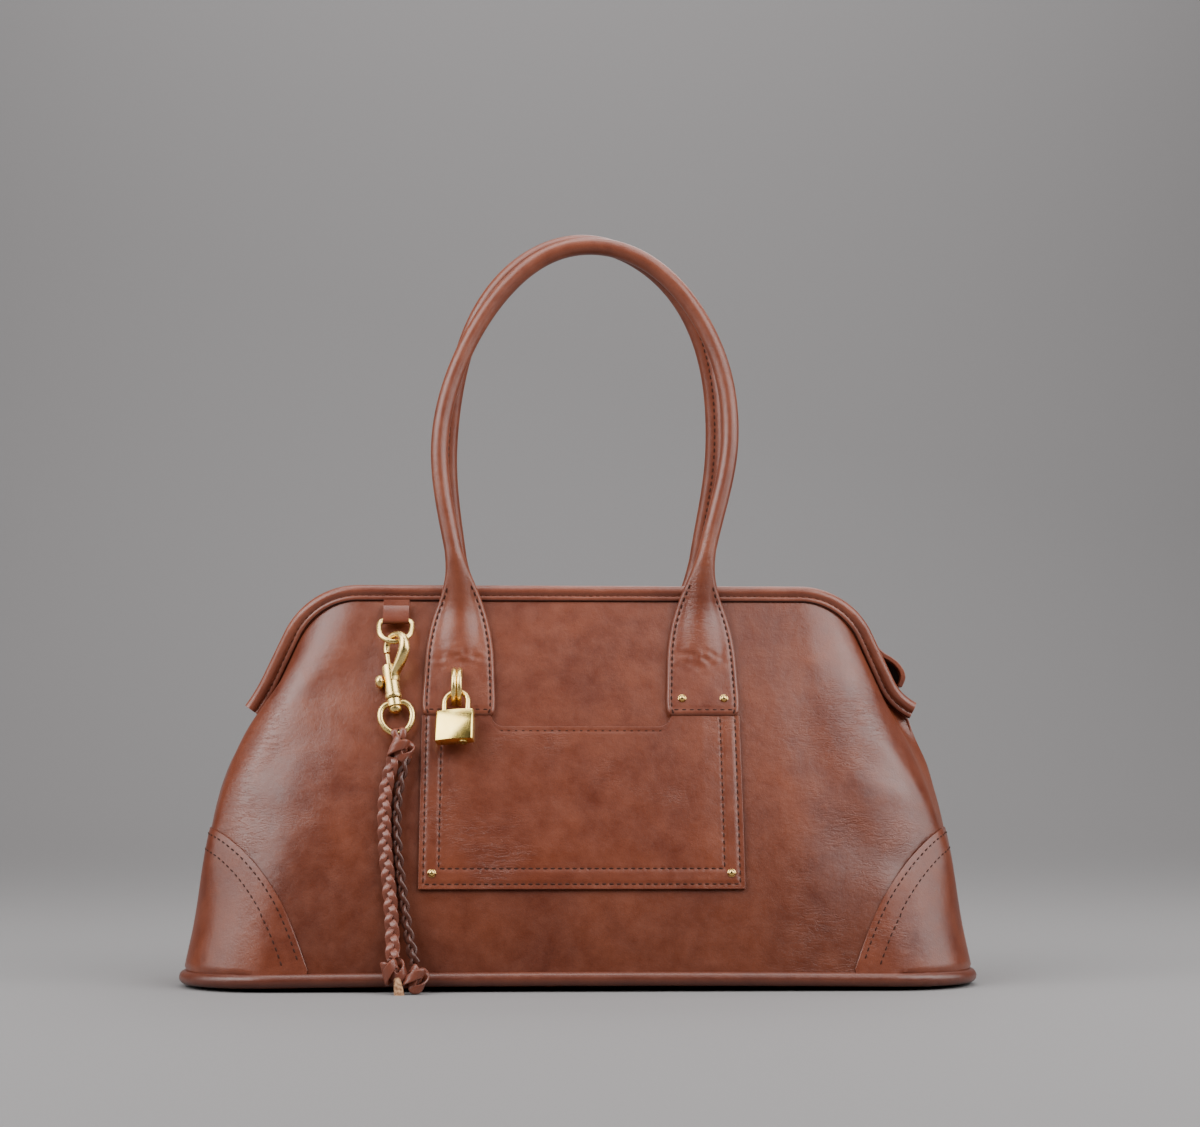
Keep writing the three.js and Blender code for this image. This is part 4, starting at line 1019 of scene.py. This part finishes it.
handle_leather = waxed_leather("handle_leather", (0.12, 0.027, 0.014), (0.24, 0.067, 0.032), (4, 6, 3), 0.5)
handle_rows = bmesh.new()
for end, turn_round in (("front", Vector((1, 1, 1))), ("back", Vector((1, -1, 1)))):
    stations = handle_stations(**HANDLES[end])
    last = len(stations) - 1
    centres = [centre for centre, _, _ in stations]
    frames = []
    for k, (centre, width, thick) in enumerate(stations):
        run = heading_at(centres, k)
        sideways = Vector((-run.z, 0, run.x)).normalized()
        frames.append((centre, sideways, run.cross(sideways).normalized(), width, thick))

    def on_handle(k, angle, lift=0.0):
        centre, sideways, outwards, width, thick = frames[k]
        across, depth = handle_section(width, thick, angle, centre.x, centre.z)
        return centre + sideways * across + outwards * (depth + lift)

    def handle_skin(u, v):
        return on_handle(round(u * last), 2 * math.pi * v)

    skin = close_ends(spread_grid(last, HANDLE_SIDES, handle_skin))
    bmesh.ops.scale(skin, vec=turn_round, verts=skin.verts)
    fit_piece(f"roll_{end}", skin, handle_leather, "leather", [f"handle_{end}"])

    seam = []
    for centre, _, outwards, _, thick in frames[TAB_STEPS - 6:last - TAB_STEPS + 7]:
        seam.append(((centre - outwards * (thick / 2 + 0.1)) * turn_round, -outwards * turn_round))
    stitch_row(handle_rows, seam)
    for tab in (range(TAB_STEPS - 14, 2, -1), range(last - TAB_STEPS + 15, last - 2)):
        for edge in (-1, 1):
            row = []
            for k in tab:
                _, _, outwards, width, _ = frames[k]
                seat = on_handle(k, math.acos(edge * (1 - 2 * TAB_ROW / width)), 0.25)
                row.append((seat * turn_round, outwards * turn_round))
            stitch_row(handle_rows, row)
        middle = centres[tab[-1]].x
        foot_row = []
        for k in range(21):
            x = middle + mix(-FOOT_ROW_HALF, FOOT_ROW_HALF, k / 20)
            seat = Vector((x, tab_back_y(FOOT_ROW_Z) - 3.15, FOOT_ROW_Z))
            foot_row.append((seat * turn_round, front_slope(FOOT_ROW_Z) * turn_round))
        stitch_row(handle_rows, foot_row)
fit_piece("handle_stitching", handle_rows, thread, "leather")

# Rivets: small domed brass studs through the right tab and the lower corners of the pocket.
# Each has a thin rolled flange and is set flush on the leather.
RIVET_PROFILE = [
    (0, 1.75), (0.45, 1.72), (0.9, 1.6), (1.3, 1.36), (1.62, 1.05), (1.85, 0.68), (1.97, 0.3), (2.2, 0.2),
    (2.25, 0), (0, 0),
]
RIVETS = {
    "tab_inner": (55.9, 158, 3.8), "tab_outer": (79.1, 158, 3.8),
    "pocket_left": (-80.3, 63.8, 2.4), "pocket_right": (80.3, 63.8, 2.4),
}


def turned_part(profile, sides):
    """A turned piece about Z from a profile of radius and height."""
    bm = bmesh.new()
    verts = [bm.verts.new((radius, 0, height)) for radius, height in profile]
    edges = [bm.edges.new(pair) for pair in zip(verts, verts[1:])]
    bmesh.ops.spin(bm, geom=verts + edges, cent=(0, 0, 0), axis=(0, 0, 1), angle=2 * math.pi, steps=sides,
                   use_merge=True)
    bmesh.ops.remove_doubles(bm, verts=bm.verts, dist=0.002)
    return bm


def panel_frame(x, z):
    """X right, Z up the front wall and -Y away from it."""
    tilt = -math.atan2(front_y(z + 1) - front_y(z - 1), 2)
    return Matrix.Translation((x, front_y(z), z)) @ Matrix.Rotation(tilt, 4, "X")


def put(bm, seat):
    bmesh.ops.transform(bm, matrix=seat, verts=bm.verts)
    return bm


rivet_brass = satin_brass("rivet_brass", 0.16, (0.72, 0.5, 0.18))
for where, (x, z, off) in RIVETS.items():
    seat = panel_frame(x, z) @ Matrix.Translation((0, -off, 0)) @ Matrix.Rotation(math.pi / 2, 4, "X")
    stud = put(turned_part(RIVET_PROFILE, 36), seat)
    fit_piece(f"stud_{where}", stud, rivet_brass, "brass", [f"rivet_{where}"])

# Strap loop and ring: a folded leather strip sewn in under the rim holds a brass D ring.
# The ring is bent from round wire, and the hook hangs in its bow.
HOOK_PANEL = panel_frame(-103.3, 168)
LOOP_BEND = 2.55
LOOP_ROUTE = [(2.5, 13.2), (LOOP_BEND, 8.6), (LOOP_BEND, 3), (2.5, 0.4)]
LOOP_ROUTE += [(LOOP_BEND * math.cos(a), LOOP_BEND * math.sin(a)) for a in (-0.5, -1.1, -1.6, -2.1, -2.7)]
LOOP_ROUTE += [(-2.5, 0.6), (-2.4, 3), (-2, 6), (-1.2, 9), (-0.3, 11.4), (0.3, 13.2)]
LOOP_STEPS = 47
LOOP_HALF = 7.2
LOOP_THICK = 1.7
RING_TOP = Vector((0, -4.2, 35.3))
RING_FOOT = Vector((0, -9, 20.8))
RING_RADIUS = 9
RING_WIRE = 1.5
loop_line = smooth_line([(0, y, z) for y, z in LOOP_ROUTE], LOOP_STEPS + 1)


def loop_strip(u, v):
    k = round(u * LOOP_STEPS)
    ahead = heading_at(loop_line, k)
    outwards = Vector((0, -ahead.z, ahead.y))
    return loop_line[k] - outwards * 0.9 + Vector((mix(LOOP_HALF, -LOOP_HALF, v), 0, 0))


strap_leather = waxed_leather("strap_leather", (0.1, 0.019, 0.008), (0.19, 0.043, 0.017), (6, 6, 1), 0.3,
                              rough=0.26)
strip = put(spread_grid(LOOP_STEPS, 8, loop_strip), HOOK_PANEL @ Matrix.Translation(RING_TOP))
fit_sheet("hook_strap", strip, strap_leather, "leather", ["strap_loop"], LOOP_THICK, 0.4)


def swept_wire(line, wide, thick, sides=14, hint=Vector((0, 1, 0)), closed=False, square=1):
    """A wire or thong along a line; hint is the way its width leans, one for all points or one each."""
    count = len(line)
    hints = hint if isinstance(hint, list) else [hint] * count
    sections = []
    side = hints[0]
    for k, point in enumerate(line):
        before = line[k - 1] if closed or k else point
        after = line[(k + 1) % count] if closed or k < count - 1 else point
        run = (after - before).normalized()
        side = hints[k] if isinstance(hint, list) else side
        side = (side - run * side.dot(run)).normalized()
        width = wide(k / (count - 1)) if callable(wide) else wide
        depth = thick(k / (count - 1)) if callable(thick) else thick
        sections.append((point, side * width, run.cross(side) * depth))
    if closed:
        sections.append(sections[0])

    def place(u, v):
        point, out, up = sections[round(u * (len(sections) - 1))]
        across, deep = math.cos(2 * math.pi * v), math.sin(2 * math.pi * v)
        across = math.copysign(abs(across) ** square, across)
        return point + out * across + up * math.copysign(abs(deep) ** square, deep)

    return close_ends(spread_grid(len(sections) - 1, sides, place))


def upright_line(route, count, closed=False):
    """A rounded line through points of X and Z."""
    return smooth_line([(x, 0, z) for x, z in route], count, closed)


ring_tall = (RING_TOP - RING_FOOT).length / 2
ring_half = [(7.5, ring_tall), (8.5, ring_tall - 0.7), (RING_RADIUS, ring_tall - 2.1)]
ring_half += [(RING_RADIUS * math.cos(a), RING_RADIUS - ring_tall - RING_RADIUS * math.sin(a))
              for a in (0, 0.52, 1.05)]
ring_route = ring_half + [(0, -ring_tall)] + [(-x, z) for x, z in reversed(ring_half)]
ring_tilt = -math.atan2(RING_TOP.y - RING_FOOT.y, RING_TOP.z - RING_FOOT.z)
ring_seat = HOOK_PANEL @ Matrix.Translation((RING_TOP + RING_FOOT) / 2)
ring_seat = ring_seat @ Matrix.Rotation(ring_tilt, 4, "X")
ring = swept_wire(upright_line(ring_route, 96, closed=True), RING_WIRE, RING_WIRE, closed=True)
fit_piece("d_ring", put(ring, ring_seat), brass, "brass", ["hook_ring"])

# Snap hook: a cast brass bow on a barrel, with a spring bolt that a thumb knob slides down.
# Under the barrel a collar with a wire eye turns freely on the riveted post.
HOOK_YAW = math.radians(-44)
HOOK_TILT = math.radians(-9.5)
BOW_RADIUS = 7
BOW_CENTRE = -3
BOW_SHANK = [(13, -7.6), (10, -11.6), (6.8, -15), (4.4, -18), (3.3, -21.5)]
BORE = 1.9
BARREL = 4.1
SLOT_TOP = -19.2
SLOT_FOOT = -28
BARREL_PROFILE = [
    (0, -28.6), (BORE, -28.6), (BORE, SLOT_FOOT), (BORE, SLOT_TOP), (BORE, -11.7), (3.3, -11.7),
    (3.9, -12.2), (BARREL, -13.2), (BARREL, SLOT_TOP), (BARREL, SLOT_FOOT), (BARREL, -29), (4.5, -29.3),
    (4.6, -29.8), (4.6, -31.2), (4.2, -31.8), (1.5, -31.8), (1.5, -36.9), (3.3, -36.9), (3.6, -37.5),
    (3.4, -38.7), (2.6, -39.7), (1.3, -40.2), (0, -40.3),
]
BOLT_PROFILE = [(0, -4.5), (0.7, -4.5), (1.15, -5), (1.15, -21.9), (0, -21.9)]
KNOB_Z = -20.6
KNOB_PROFILE = [
    (0, 0), (0.9, 0), (0.9, 4.4), (2.6, 4.5), (3.5, 4.9), (3.9, 5.8), (3.8, 6.9), (3.1, 8), (1.8, 8.7),
    (0, 8.9),
]
EYE_HALF = [(2.7, -34.4), (5.6, -35), (8.2, -38.2), (8.6, -43.5), (5.6, -49.6)]
EYE_FOOT = -52.4
EYE_WIRE = 1.7
COLLAR_PROFILE = [
    (1.9, -36.6), (3.6, -36.6), (4, -36.2), (4, -32.5), (3.6, -32.1), (1.9, -32.1), (1.9, -36.6),
]
hook_seat = HOOK_PANEL @ Matrix.Translation(RING_FOOT) @ Matrix.Rotation(HOOK_TILT, 4, "Y")
hook_seat = hook_seat @ Matrix.Rotation(HOOK_YAW, 4, "Z") @ Matrix.Translation((-BOW_RADIUS, 0, 0))
square_seat = hook_seat @ Matrix.Rotation(-HOOK_YAW, 4, "Z")
bow_route = [(0, -4.2)]
for k in range(9):
    angle = math.pi * (1 - k / 8)
    bow_route.append((BOW_RADIUS * (1 + math.cos(angle)), BOW_CENTRE + BOW_RADIUS * math.sin(angle)))
hook = swept_wire(upright_line(bow_route + BOW_SHANK, 96), lambda t: 1.8 + 1.4 * ease(t, 0.3, 0.62),
                  lambda t: 1.8 + 1.5 * ease(t, 0.3, 0.62) - 2.1 * ease(t, 0.72, 1), 22)
barrel = turned_part(BARREL_PROFILE, 48)
slot = []
for face in barrel.faces:
    middle = face.calc_center_median()
    turn = abs(math.atan2(middle.y, middle.x) - math.pi - HOOK_YAW)
    reach = 0.66 if math.hypot(middle.x, middle.y) < BORE else 0.27
    if SLOT_FOOT < middle.z < SLOT_TOP and min(turn, 2 * math.pi - turn) < reach:
        slot.append(face)
bmesh.ops.delete(barrel, geom=slot, context="FACES")
bmesh.ops.bridge_loops(barrel, edges=[edge for edge in barrel.edges if edge.is_boundary])
take_in(hook, barrel)
fit_piece("snap_hook", put(hook, hook_seat), brass, "brass", ["hook_body"], sharp=35)

bolt = turned_part(BOLT_PROFILE, 20)
knob_seat = Matrix.Translation((0, 0, KNOB_Z)) @ Matrix.Rotation(-math.pi / 2, 4, "Y")
take_in(bolt, put(turned_part(KNOB_PROFILE, 32), knob_seat))
fit_piece("thumb_pin", put(bolt, square_seat), brass, "brass", ["hook_bolt"], body="thumb_bolt", sharp=35)

eye_route = [(-x, z) for x, z in EYE_HALF] + [(0, EYE_FOOT)] + EYE_HALF[::-1]
eye = swept_wire(upright_line(eye_route, 72), EYE_WIRE, EYE_WIRE)
take_in(eye, turned_part(COLLAR_PROFILE, 32))
fit_piece("swivel_ring", put(eye, square_seat), brass, "brass", ["swivel_eye"], sharp=35)

# Lanyard: two braids of three flat leather thongs each, tied together in a knot under the eye.
# The thongs are looped round the eye, and each braid ends in a knot. One cut end shows by the left knot.
BRAID_LEFT = [
    (-101.8, 126.2, 6.2), (-105.4, 111, 4.6), (-106.2, 97, 4.2), (-105, 76, 4.1), (-102, 52, 4.4),
    (-100.2, 33, 7), (-99.4, 20.7, 11.2),
]
BRAID_RIGHT = [
    (-95.2, 125.9, 6.2), (-98.4, 111, 4.6), (-99.7, 97, 4.2), (-98.6, 76, 4.1), (-95.2, 52, 4.4),
    (-91.6, 32, 7), (-88, 18, 11),
]
BRAID_STEPS = 129
BRAID_WIDTH = 7.4
BRAID_PITCH = 24.5
BRAID_SWING = 2.05
BRAID_LIFT = 1.05
THONG_HALF = 0.8
KNOT_STEPS = 120
CUT_ROUTE = [(-96.8, 11, 13.6), (-96, 6, 15), (-95.4, 1.6, 15.6)]
thong_leather = waxed_leather("thong_leather", (0.1, 0.023, 0.012), (0.2, 0.054, 0.029), (8, 1, 5), 0.3)
# The side braid's leather is darker: partly the thongs' darker flesh side, partly painted shade where the front braid
# shades it.
thong_flesh_and_shade = waxed_leather("thong_flesh_and_shade", (0.035, 0.01, 0.006), (0.09, 0.027, 0.016), (8, 1, 5), 0.3)


def off_front(x, z, off):
    return Vector((x, front_y(z) - off, z))


def braid(route, twist):
    """Three flat thongs that cross in turn along a route; twist turns their flat side from the front."""
    line = smooth_line([off_front(*place) for place in route], BRAID_STEPS + 1)
    length = sum((b - a).length for a, b in zip(line, line[1:]))
    whole = bmesh.new()
    for k in range(3):
        thong = []
        hints = []
        for j, point in enumerate(line):
            ahead = heading_at(line, j)
            flat = Matrix.Rotation(twist, 3, ahead) @ Vector((1, 0, 0))
            flat = (flat - ahead * flat.dot(ahead)).normalized()
            phase = 2 * math.pi * (length * j / BRAID_STEPS / BRAID_PITCH + k / 3)
            lifted = ahead.cross(flat) * BRAID_LIFT * math.sin(2 * phase)
            thong.append(point + flat * BRAID_SWING * math.sin(phase) + lifted)
            hints.append(flat)
        take_in(whole, swept_wire(thong, 2, THONG_HALF, 16, hints, square=0.62))
    return whole, line, length


def turks_head(centre, wide, deep, tall, lean, thong):
    """A knot of one flat thong woven round on itself."""
    line = []
    for k in range(KNOT_STEPS):
        turn = 2 * math.pi * k / KNOT_STEPS
        ring = 0.68 + 0.3 * math.cos(3 * turn)
        outwards = Vector((ring * math.cos(2 * turn) * wide, ring * math.sin(2 * turn) * deep, 0))
        line.append(outwards + Vector((0, 0, 0.78 * math.sin(3 * turn) * tall)))
    hints = [Vector((0, 0, 1))] * KNOT_STEPS
    woven = swept_wire(line, thong, THONG_HALF, 14, hints, closed=True, square=0.7)
    core = bmesh.ops.create_uvsphere(woven, u_segments=16, v_segments=10, radius=1)
    bmesh.ops.scale(woven, vec=(wide * 0.62, deep * 0.62, tall * 0.7), verts=core["verts"])
    bmesh.ops.rotate(woven, cent=(0, 0, 0), matrix=Matrix.Rotation(lean, 3, "Y"), verts=woven.verts)
    bmesh.ops.translate(woven, vec=centre, verts=woven.verts)
    return woven


knots = {}
for name, node, place, wide, deep, tall, lean, thong in (
    ("head_knot", "braid_head_knot", (-98.5, 130.6, 6.2), 6.4, 4.8, 4.8, 0.35, 2.6),
    ("end_knot_left", "braid_end_knot_left", (-99.2, 14.4, 11.6), 6.2, 4.8, 4.9, -0.3, 2.5),
    ("end_knot_right", "braid_end_knot_right", (-87.4, 10.3, 11.4), 5.2, 4.6, 6, 0.5, 2.4),
):
    knot = turks_head(off_front(*place), wide, deep, tall, lean, thong)
    knots[name] = fit_piece(name, knot, thong_leather, "lanyard_leather", [node])

raw_leather = new_finish("raw_leather", Roughness=0.8, Specular_IOR_Level=0.2)
fibre = shade_range(raw_leather, cloudy(raw_leather, object_place(raw_leather), 700.0, 4.0), 0.35, 0.65)
dress(raw_leather, Base_Color=two_tone(raw_leather, fibre, (0.16, 0.07, 0.035), (0.46, 0.27, 0.15)))
cut_line = smooth_line([off_front(*place) for place in CUT_ROUTE], 12)
cut_end = swept_wire(cut_line, lambda t: 1.8 + t, 1.2, 12, Vector((1, 0, 0)))
tail_piece = fit_piece("cut_end", cut_end, raw_leather, "lanyard_leather")

eye_foot = square_seat @ Vector((0, 0, EYE_FOOT))
eye_axis = (square_seat.to_3x3() @ Vector((1, 0, 0))).normalized()
eye_down = (square_seat.to_3x3() @ Vector((0, 0, -1))).normalized()
eye_out = eye_axis.cross(eye_down)
loop_wraps = bmesh.new()
for shift, lean in ((-1.6, 0.45), (1.6, -0.45)):
    wrap_line = []
    for k in range(41):
        angle = math.pi * (-0.22 + 1.44 * k / 40)
        sideways = eye_axis * (shift + lean * 5 * math.cos(angle) * 0.4)
        reach = -eye_down * math.sin(angle) * 2.5 + eye_out * math.cos(angle) * 2.5
        past = max(0, abs(k - 20) / 20 - 0.62)
        wrap_line.append(eye_foot + sideways + reach + eye_down * 5.2 * past - sideways * 0.9 * past)
    take_in(loop_wraps, swept_wire(wrap_line, 1.9, THONG_HALF, 10, [eye_axis] * len(wrap_line)))
loop_piece = fit_piece("eye_loop", loop_wraps, thong_leather, "lanyard_leather", ["braid_loop"])

left_pieces = [knots["end_knot_left"], tail_piece, knots["head_knot"], loop_piece]
for name, route, twist, skin, node, pieces in (
    ("braid_front", BRAID_LEFT, 0.25, thong_leather, "braid_left", left_pieces),
    ("braid_side", BRAID_RIGHT, 1.1, thong_flesh_and_shade, "braid_right", [knots["end_knot_right"]]),
):
    strands, line, length = braid(route, twist)
    piece = fit_piece(name, strands, skin, "lanyard_leather", [node])
    path = [point * MM for point in line]
    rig.cord(piece, exit=path[0], length=length * MM, diameter=BRAID_WIDTH * MM, far_end="knot",
            stiffness="limp", lay="hanging", path=path, with_pieces=pieces)

# Padlock: a small solid brass lock on a double wire ring through the left handle tab.
# The body is a milled block that takes both legs of the shackle; the key plug sits in its underside.
LOCK_PANEL = panel_frame(-68.5, 161)
STAPLE_DEEP = 8.9
STAPLE_HALF = 9.6
STAPLE_WIRE = 1.5
SHACKLE_LEG = 12.4
SHACKLE_SUNK = 3
SHACKLE_HALF = 6.6
SHACKLE_WIRE = 1.4
LOCK_SIZE = Vector((21, 7.6, 18))
LOCK_CROWN = 0.8
PLUG_X = 4.8
PLUG_PROFILE = [
    (0, 0), (2.1, 0), (2.4, -0.3), (2.4, -1), (2.2, -1.2), (0.9, -1.2), (0.7, -0.6), (0, -0.6),
]
double_ring = bmesh.new()
for shift in (-STAPLE_WIRE, STAPLE_WIRE):
    coil = []
    for k in range(33):
        angle = math.pi * (0.5 - k / 32)
        coil.append(Vector((shift, -STAPLE_DEEP * math.cos(angle), STAPLE_HALF * math.sin(angle))))
    take_in(double_ring, swept_wire(coil, STAPLE_WIRE, STAPLE_WIRE, 18, Vector((1, 0, 0))))
put(double_ring, LOCK_PANEL @ Matrix.Translation((0, -4.3, 3)))
fit_piece("double_ring", double_ring, brass, "brass", ["lock_ring"])

lock_seat = LOCK_PANEL @ Matrix.Translation((0, -7.8, -1))
for axis, degrees in (("X", -6), ("Y", 1), ("Z", -12)):
    lock_seat = lock_seat @ Matrix.Rotation(math.radians(degrees), 4, axis)
shackle_leg = [(SHACKLE_HALF, -SHACKLE_LEG), (SHACKLE_HALF, -SHACKLE_LEG - SHACKLE_SUNK)]
shackle_route = [(-x, z) for x, z in reversed(shackle_leg)]
for k in range(13):
    angle = math.pi * (1 - k / 12)
    shackle_route.append((SHACKLE_HALF * math.cos(angle), SHACKLE_HALF * math.sin(angle) - SHACKLE_HALF))
shackle = swept_wire(upright_line(shackle_route + shackle_leg, 64), SHACKLE_WIRE, SHACKLE_WIRE, 16)
fit_piece("shackle", put(shackle, lock_seat), brass, "brass", ["padlock_shackle"], body="padlock")

lock_brass = satin_brass("lock_brass", 0.18, (0.9, 0.67, 0.2))
block = bmesh.new()
block_seat = Matrix.Translation((0, 0, -SHACKLE_LEG - LOCK_SIZE.z / 2)) @ Matrix.Diagonal((*LOCK_SIZE, 1))
bmesh.ops.create_cube(block, size=1, matrix=block_seat)
crosswise = [edge for edge in block.edges if abs(edge.verts[0].co.x - edge.verts[1].co.x) > 1]
bmesh.ops.subdivide_edges(block, edges=crosswise, cuts=15, use_grid_fill=True)
for vert in block.verts:
    vert.co.y -= math.copysign(LOCK_CROWN * (2 * vert.co.x / LOCK_SIZE.x) ** 2, vert.co.y)
upright = []
for edge in block.edges:
    top, foot = (vert.co for vert in edge.verts)
    if abs(top.x) > LOCK_SIZE.x / 2 - 0.1 and abs(top.z - foot.z) > 1:
        upright.append(edge)
round_edges(block, upright, 1.1, 4)
block.normal_update()
round_edges(block, [edge for edge in block.edges if edge.calc_face_angle(0) > 1], 0.4, 2)
put(block, lock_seat)
fit_piece("lock_block", block, lock_brass, "brass", ["padlock_body"], body="padlock", sharp=30)

plug_brass = satin_brass("plug_brass", 0.4, (0.42, 0.28, 0.09))
plug_seat = lock_seat @ Matrix.Translation((PLUG_X, 0, -SHACKLE_LEG - LOCK_SIZE.z))
plug = put(turned_part(PLUG_PROFILE, 28), plug_seat)
fit_piece("key_plug", plug, plug_brass, "brass", ["padlock_key_plug"], body="padlock", sharp=35)

# Studio: a plain pale sweep under and behind the bag, and soft light from large boxes.
# The camera stands low in front of the bag and looks slightly up, as in the photograph.
# Lengths from here on are in metres.
SWEEP_HALF = 3.5
SWEEP_LINE = [(-2.0, 0), (1.2, 0), (1.7, 0.06), (2.1, 0.3), (2.35, 0.7), (2.45, 1.4), (2.5, 3.2)]
paper = new_finish("paper", Roughness=0.75)
fleck = cloudy(paper, object_place(paper), 900.0)
dress(paper, Base_Color=two_tone(paper, fleck, (0.19, 0.1815, 0.1815), (0.207, 0.198, 0.198)))
sweep = bmesh.new()
sweep_verts = [sweep.verts.new((-SWEEP_HALF, y, z)) for y, z in SWEEP_LINE]
sweep_edges = [sweep.edges.new(pair) for pair in zip(sweep_verts, sweep_verts[1:])]
wide = bmesh.ops.extrude_edge_only(sweep, edges=sweep_edges)["geom"]
far_verts = [part for part in wide if isinstance(part, bmesh.types.BMVert)]
bmesh.ops.translate(sweep, vec=(2 * SWEEP_HALF, 0, 0), verts=far_verts)
bmesh.ops.recalc_face_normals(sweep, faces=sweep.faces)
sweep_mesh = bake_mesh("paper_sweep", sweep)
sweep_mesh.shade_smooth()
sweep_mesh.materials.append(paper)
backdrop = bpy.data.objects.new("paper_sweep", sweep_mesh)
bpy.context.scene.collection.objects.link(backdrop)
smooth_bend = backdrop.modifiers.new("bend", "SUBSURF")
smooth_bend.levels = 3
smooth_bend.render_levels = 3
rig.stage(backdrop)

for name, place, aim, size, watts in (
    ("left_box", (-1.2, -0.9, 1.35), (-0.1, 0, 0.17), (1.3, 1.3), 37),
    ("right_box", (1.08, -1.02, 1.3), (0.1, 0, 0.17), (1.45, 1.3), 32),
    ("top_box", (0, -0.1, 1.25), (0, -0.06, 0.15), (1.1, 0.6), 10),
    ("backdrop_box", (0, 0.9, 2.5), (0, 2.4, 1.6), (3, 0.7), 62),
    ("back_box", (0.5, 1.1, 1.6), (0, 0.05, 0.15), (1.2, 0.8), 10),
    ("left_fill", (-1.35, -0.3, 0.65), (-0.2, 0, 0.13), (1, 1.1), 10),
    ("right_fill", (1.35, -0.3, 0.65), (0.2, 0, 0.13), (1, 1.1), 13),
):
    soft_box = bpy.data.lights.new(name, "AREA")
    soft_box.shape = "RECTANGLE"
    soft_box.size, soft_box.size_y = size
    soft_box.energy = watts
    lamp = bpy.data.objects.new(name, soft_box)
    lamp.location = place
    lamp.rotation_euler = (Vector(aim) - Vector(place)).to_track_quat("-Z", "Y").to_euler()
    bpy.context.scene.collection.objects.link(lamp)
world = bpy.data.worlds.new("studio")
world.use_nodes = True
world.node_tree.nodes["Background"].inputs["Color"].default_value = (0.9, 0.93, 1, 1)
world.node_tree.nodes["Background"].inputs["Strength"].default_value = 0.03
bpy.context.scene.world = world

camera_data = bpy.data.cameras.new("camera")
camera_data.sensor_width = 36
camera_data.lens = 62.9
camera = bpy.data.objects.new("camera", camera_data)
camera.location = (-0.031, -1.2, 0.1)
camera.rotation_euler = (math.radians(96.6), 0, math.radians(-2.05))
bpy.context.scene.collection.objects.link(camera)
bpy.context.scene.camera = camera

with open("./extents.json", "w") as size_file:
    boxes = {"cad": cad_box, "visual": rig.bounds()}
    json.dump({name: [list(corner) for corner in box] for name, box in boxes.items()}, size_file)
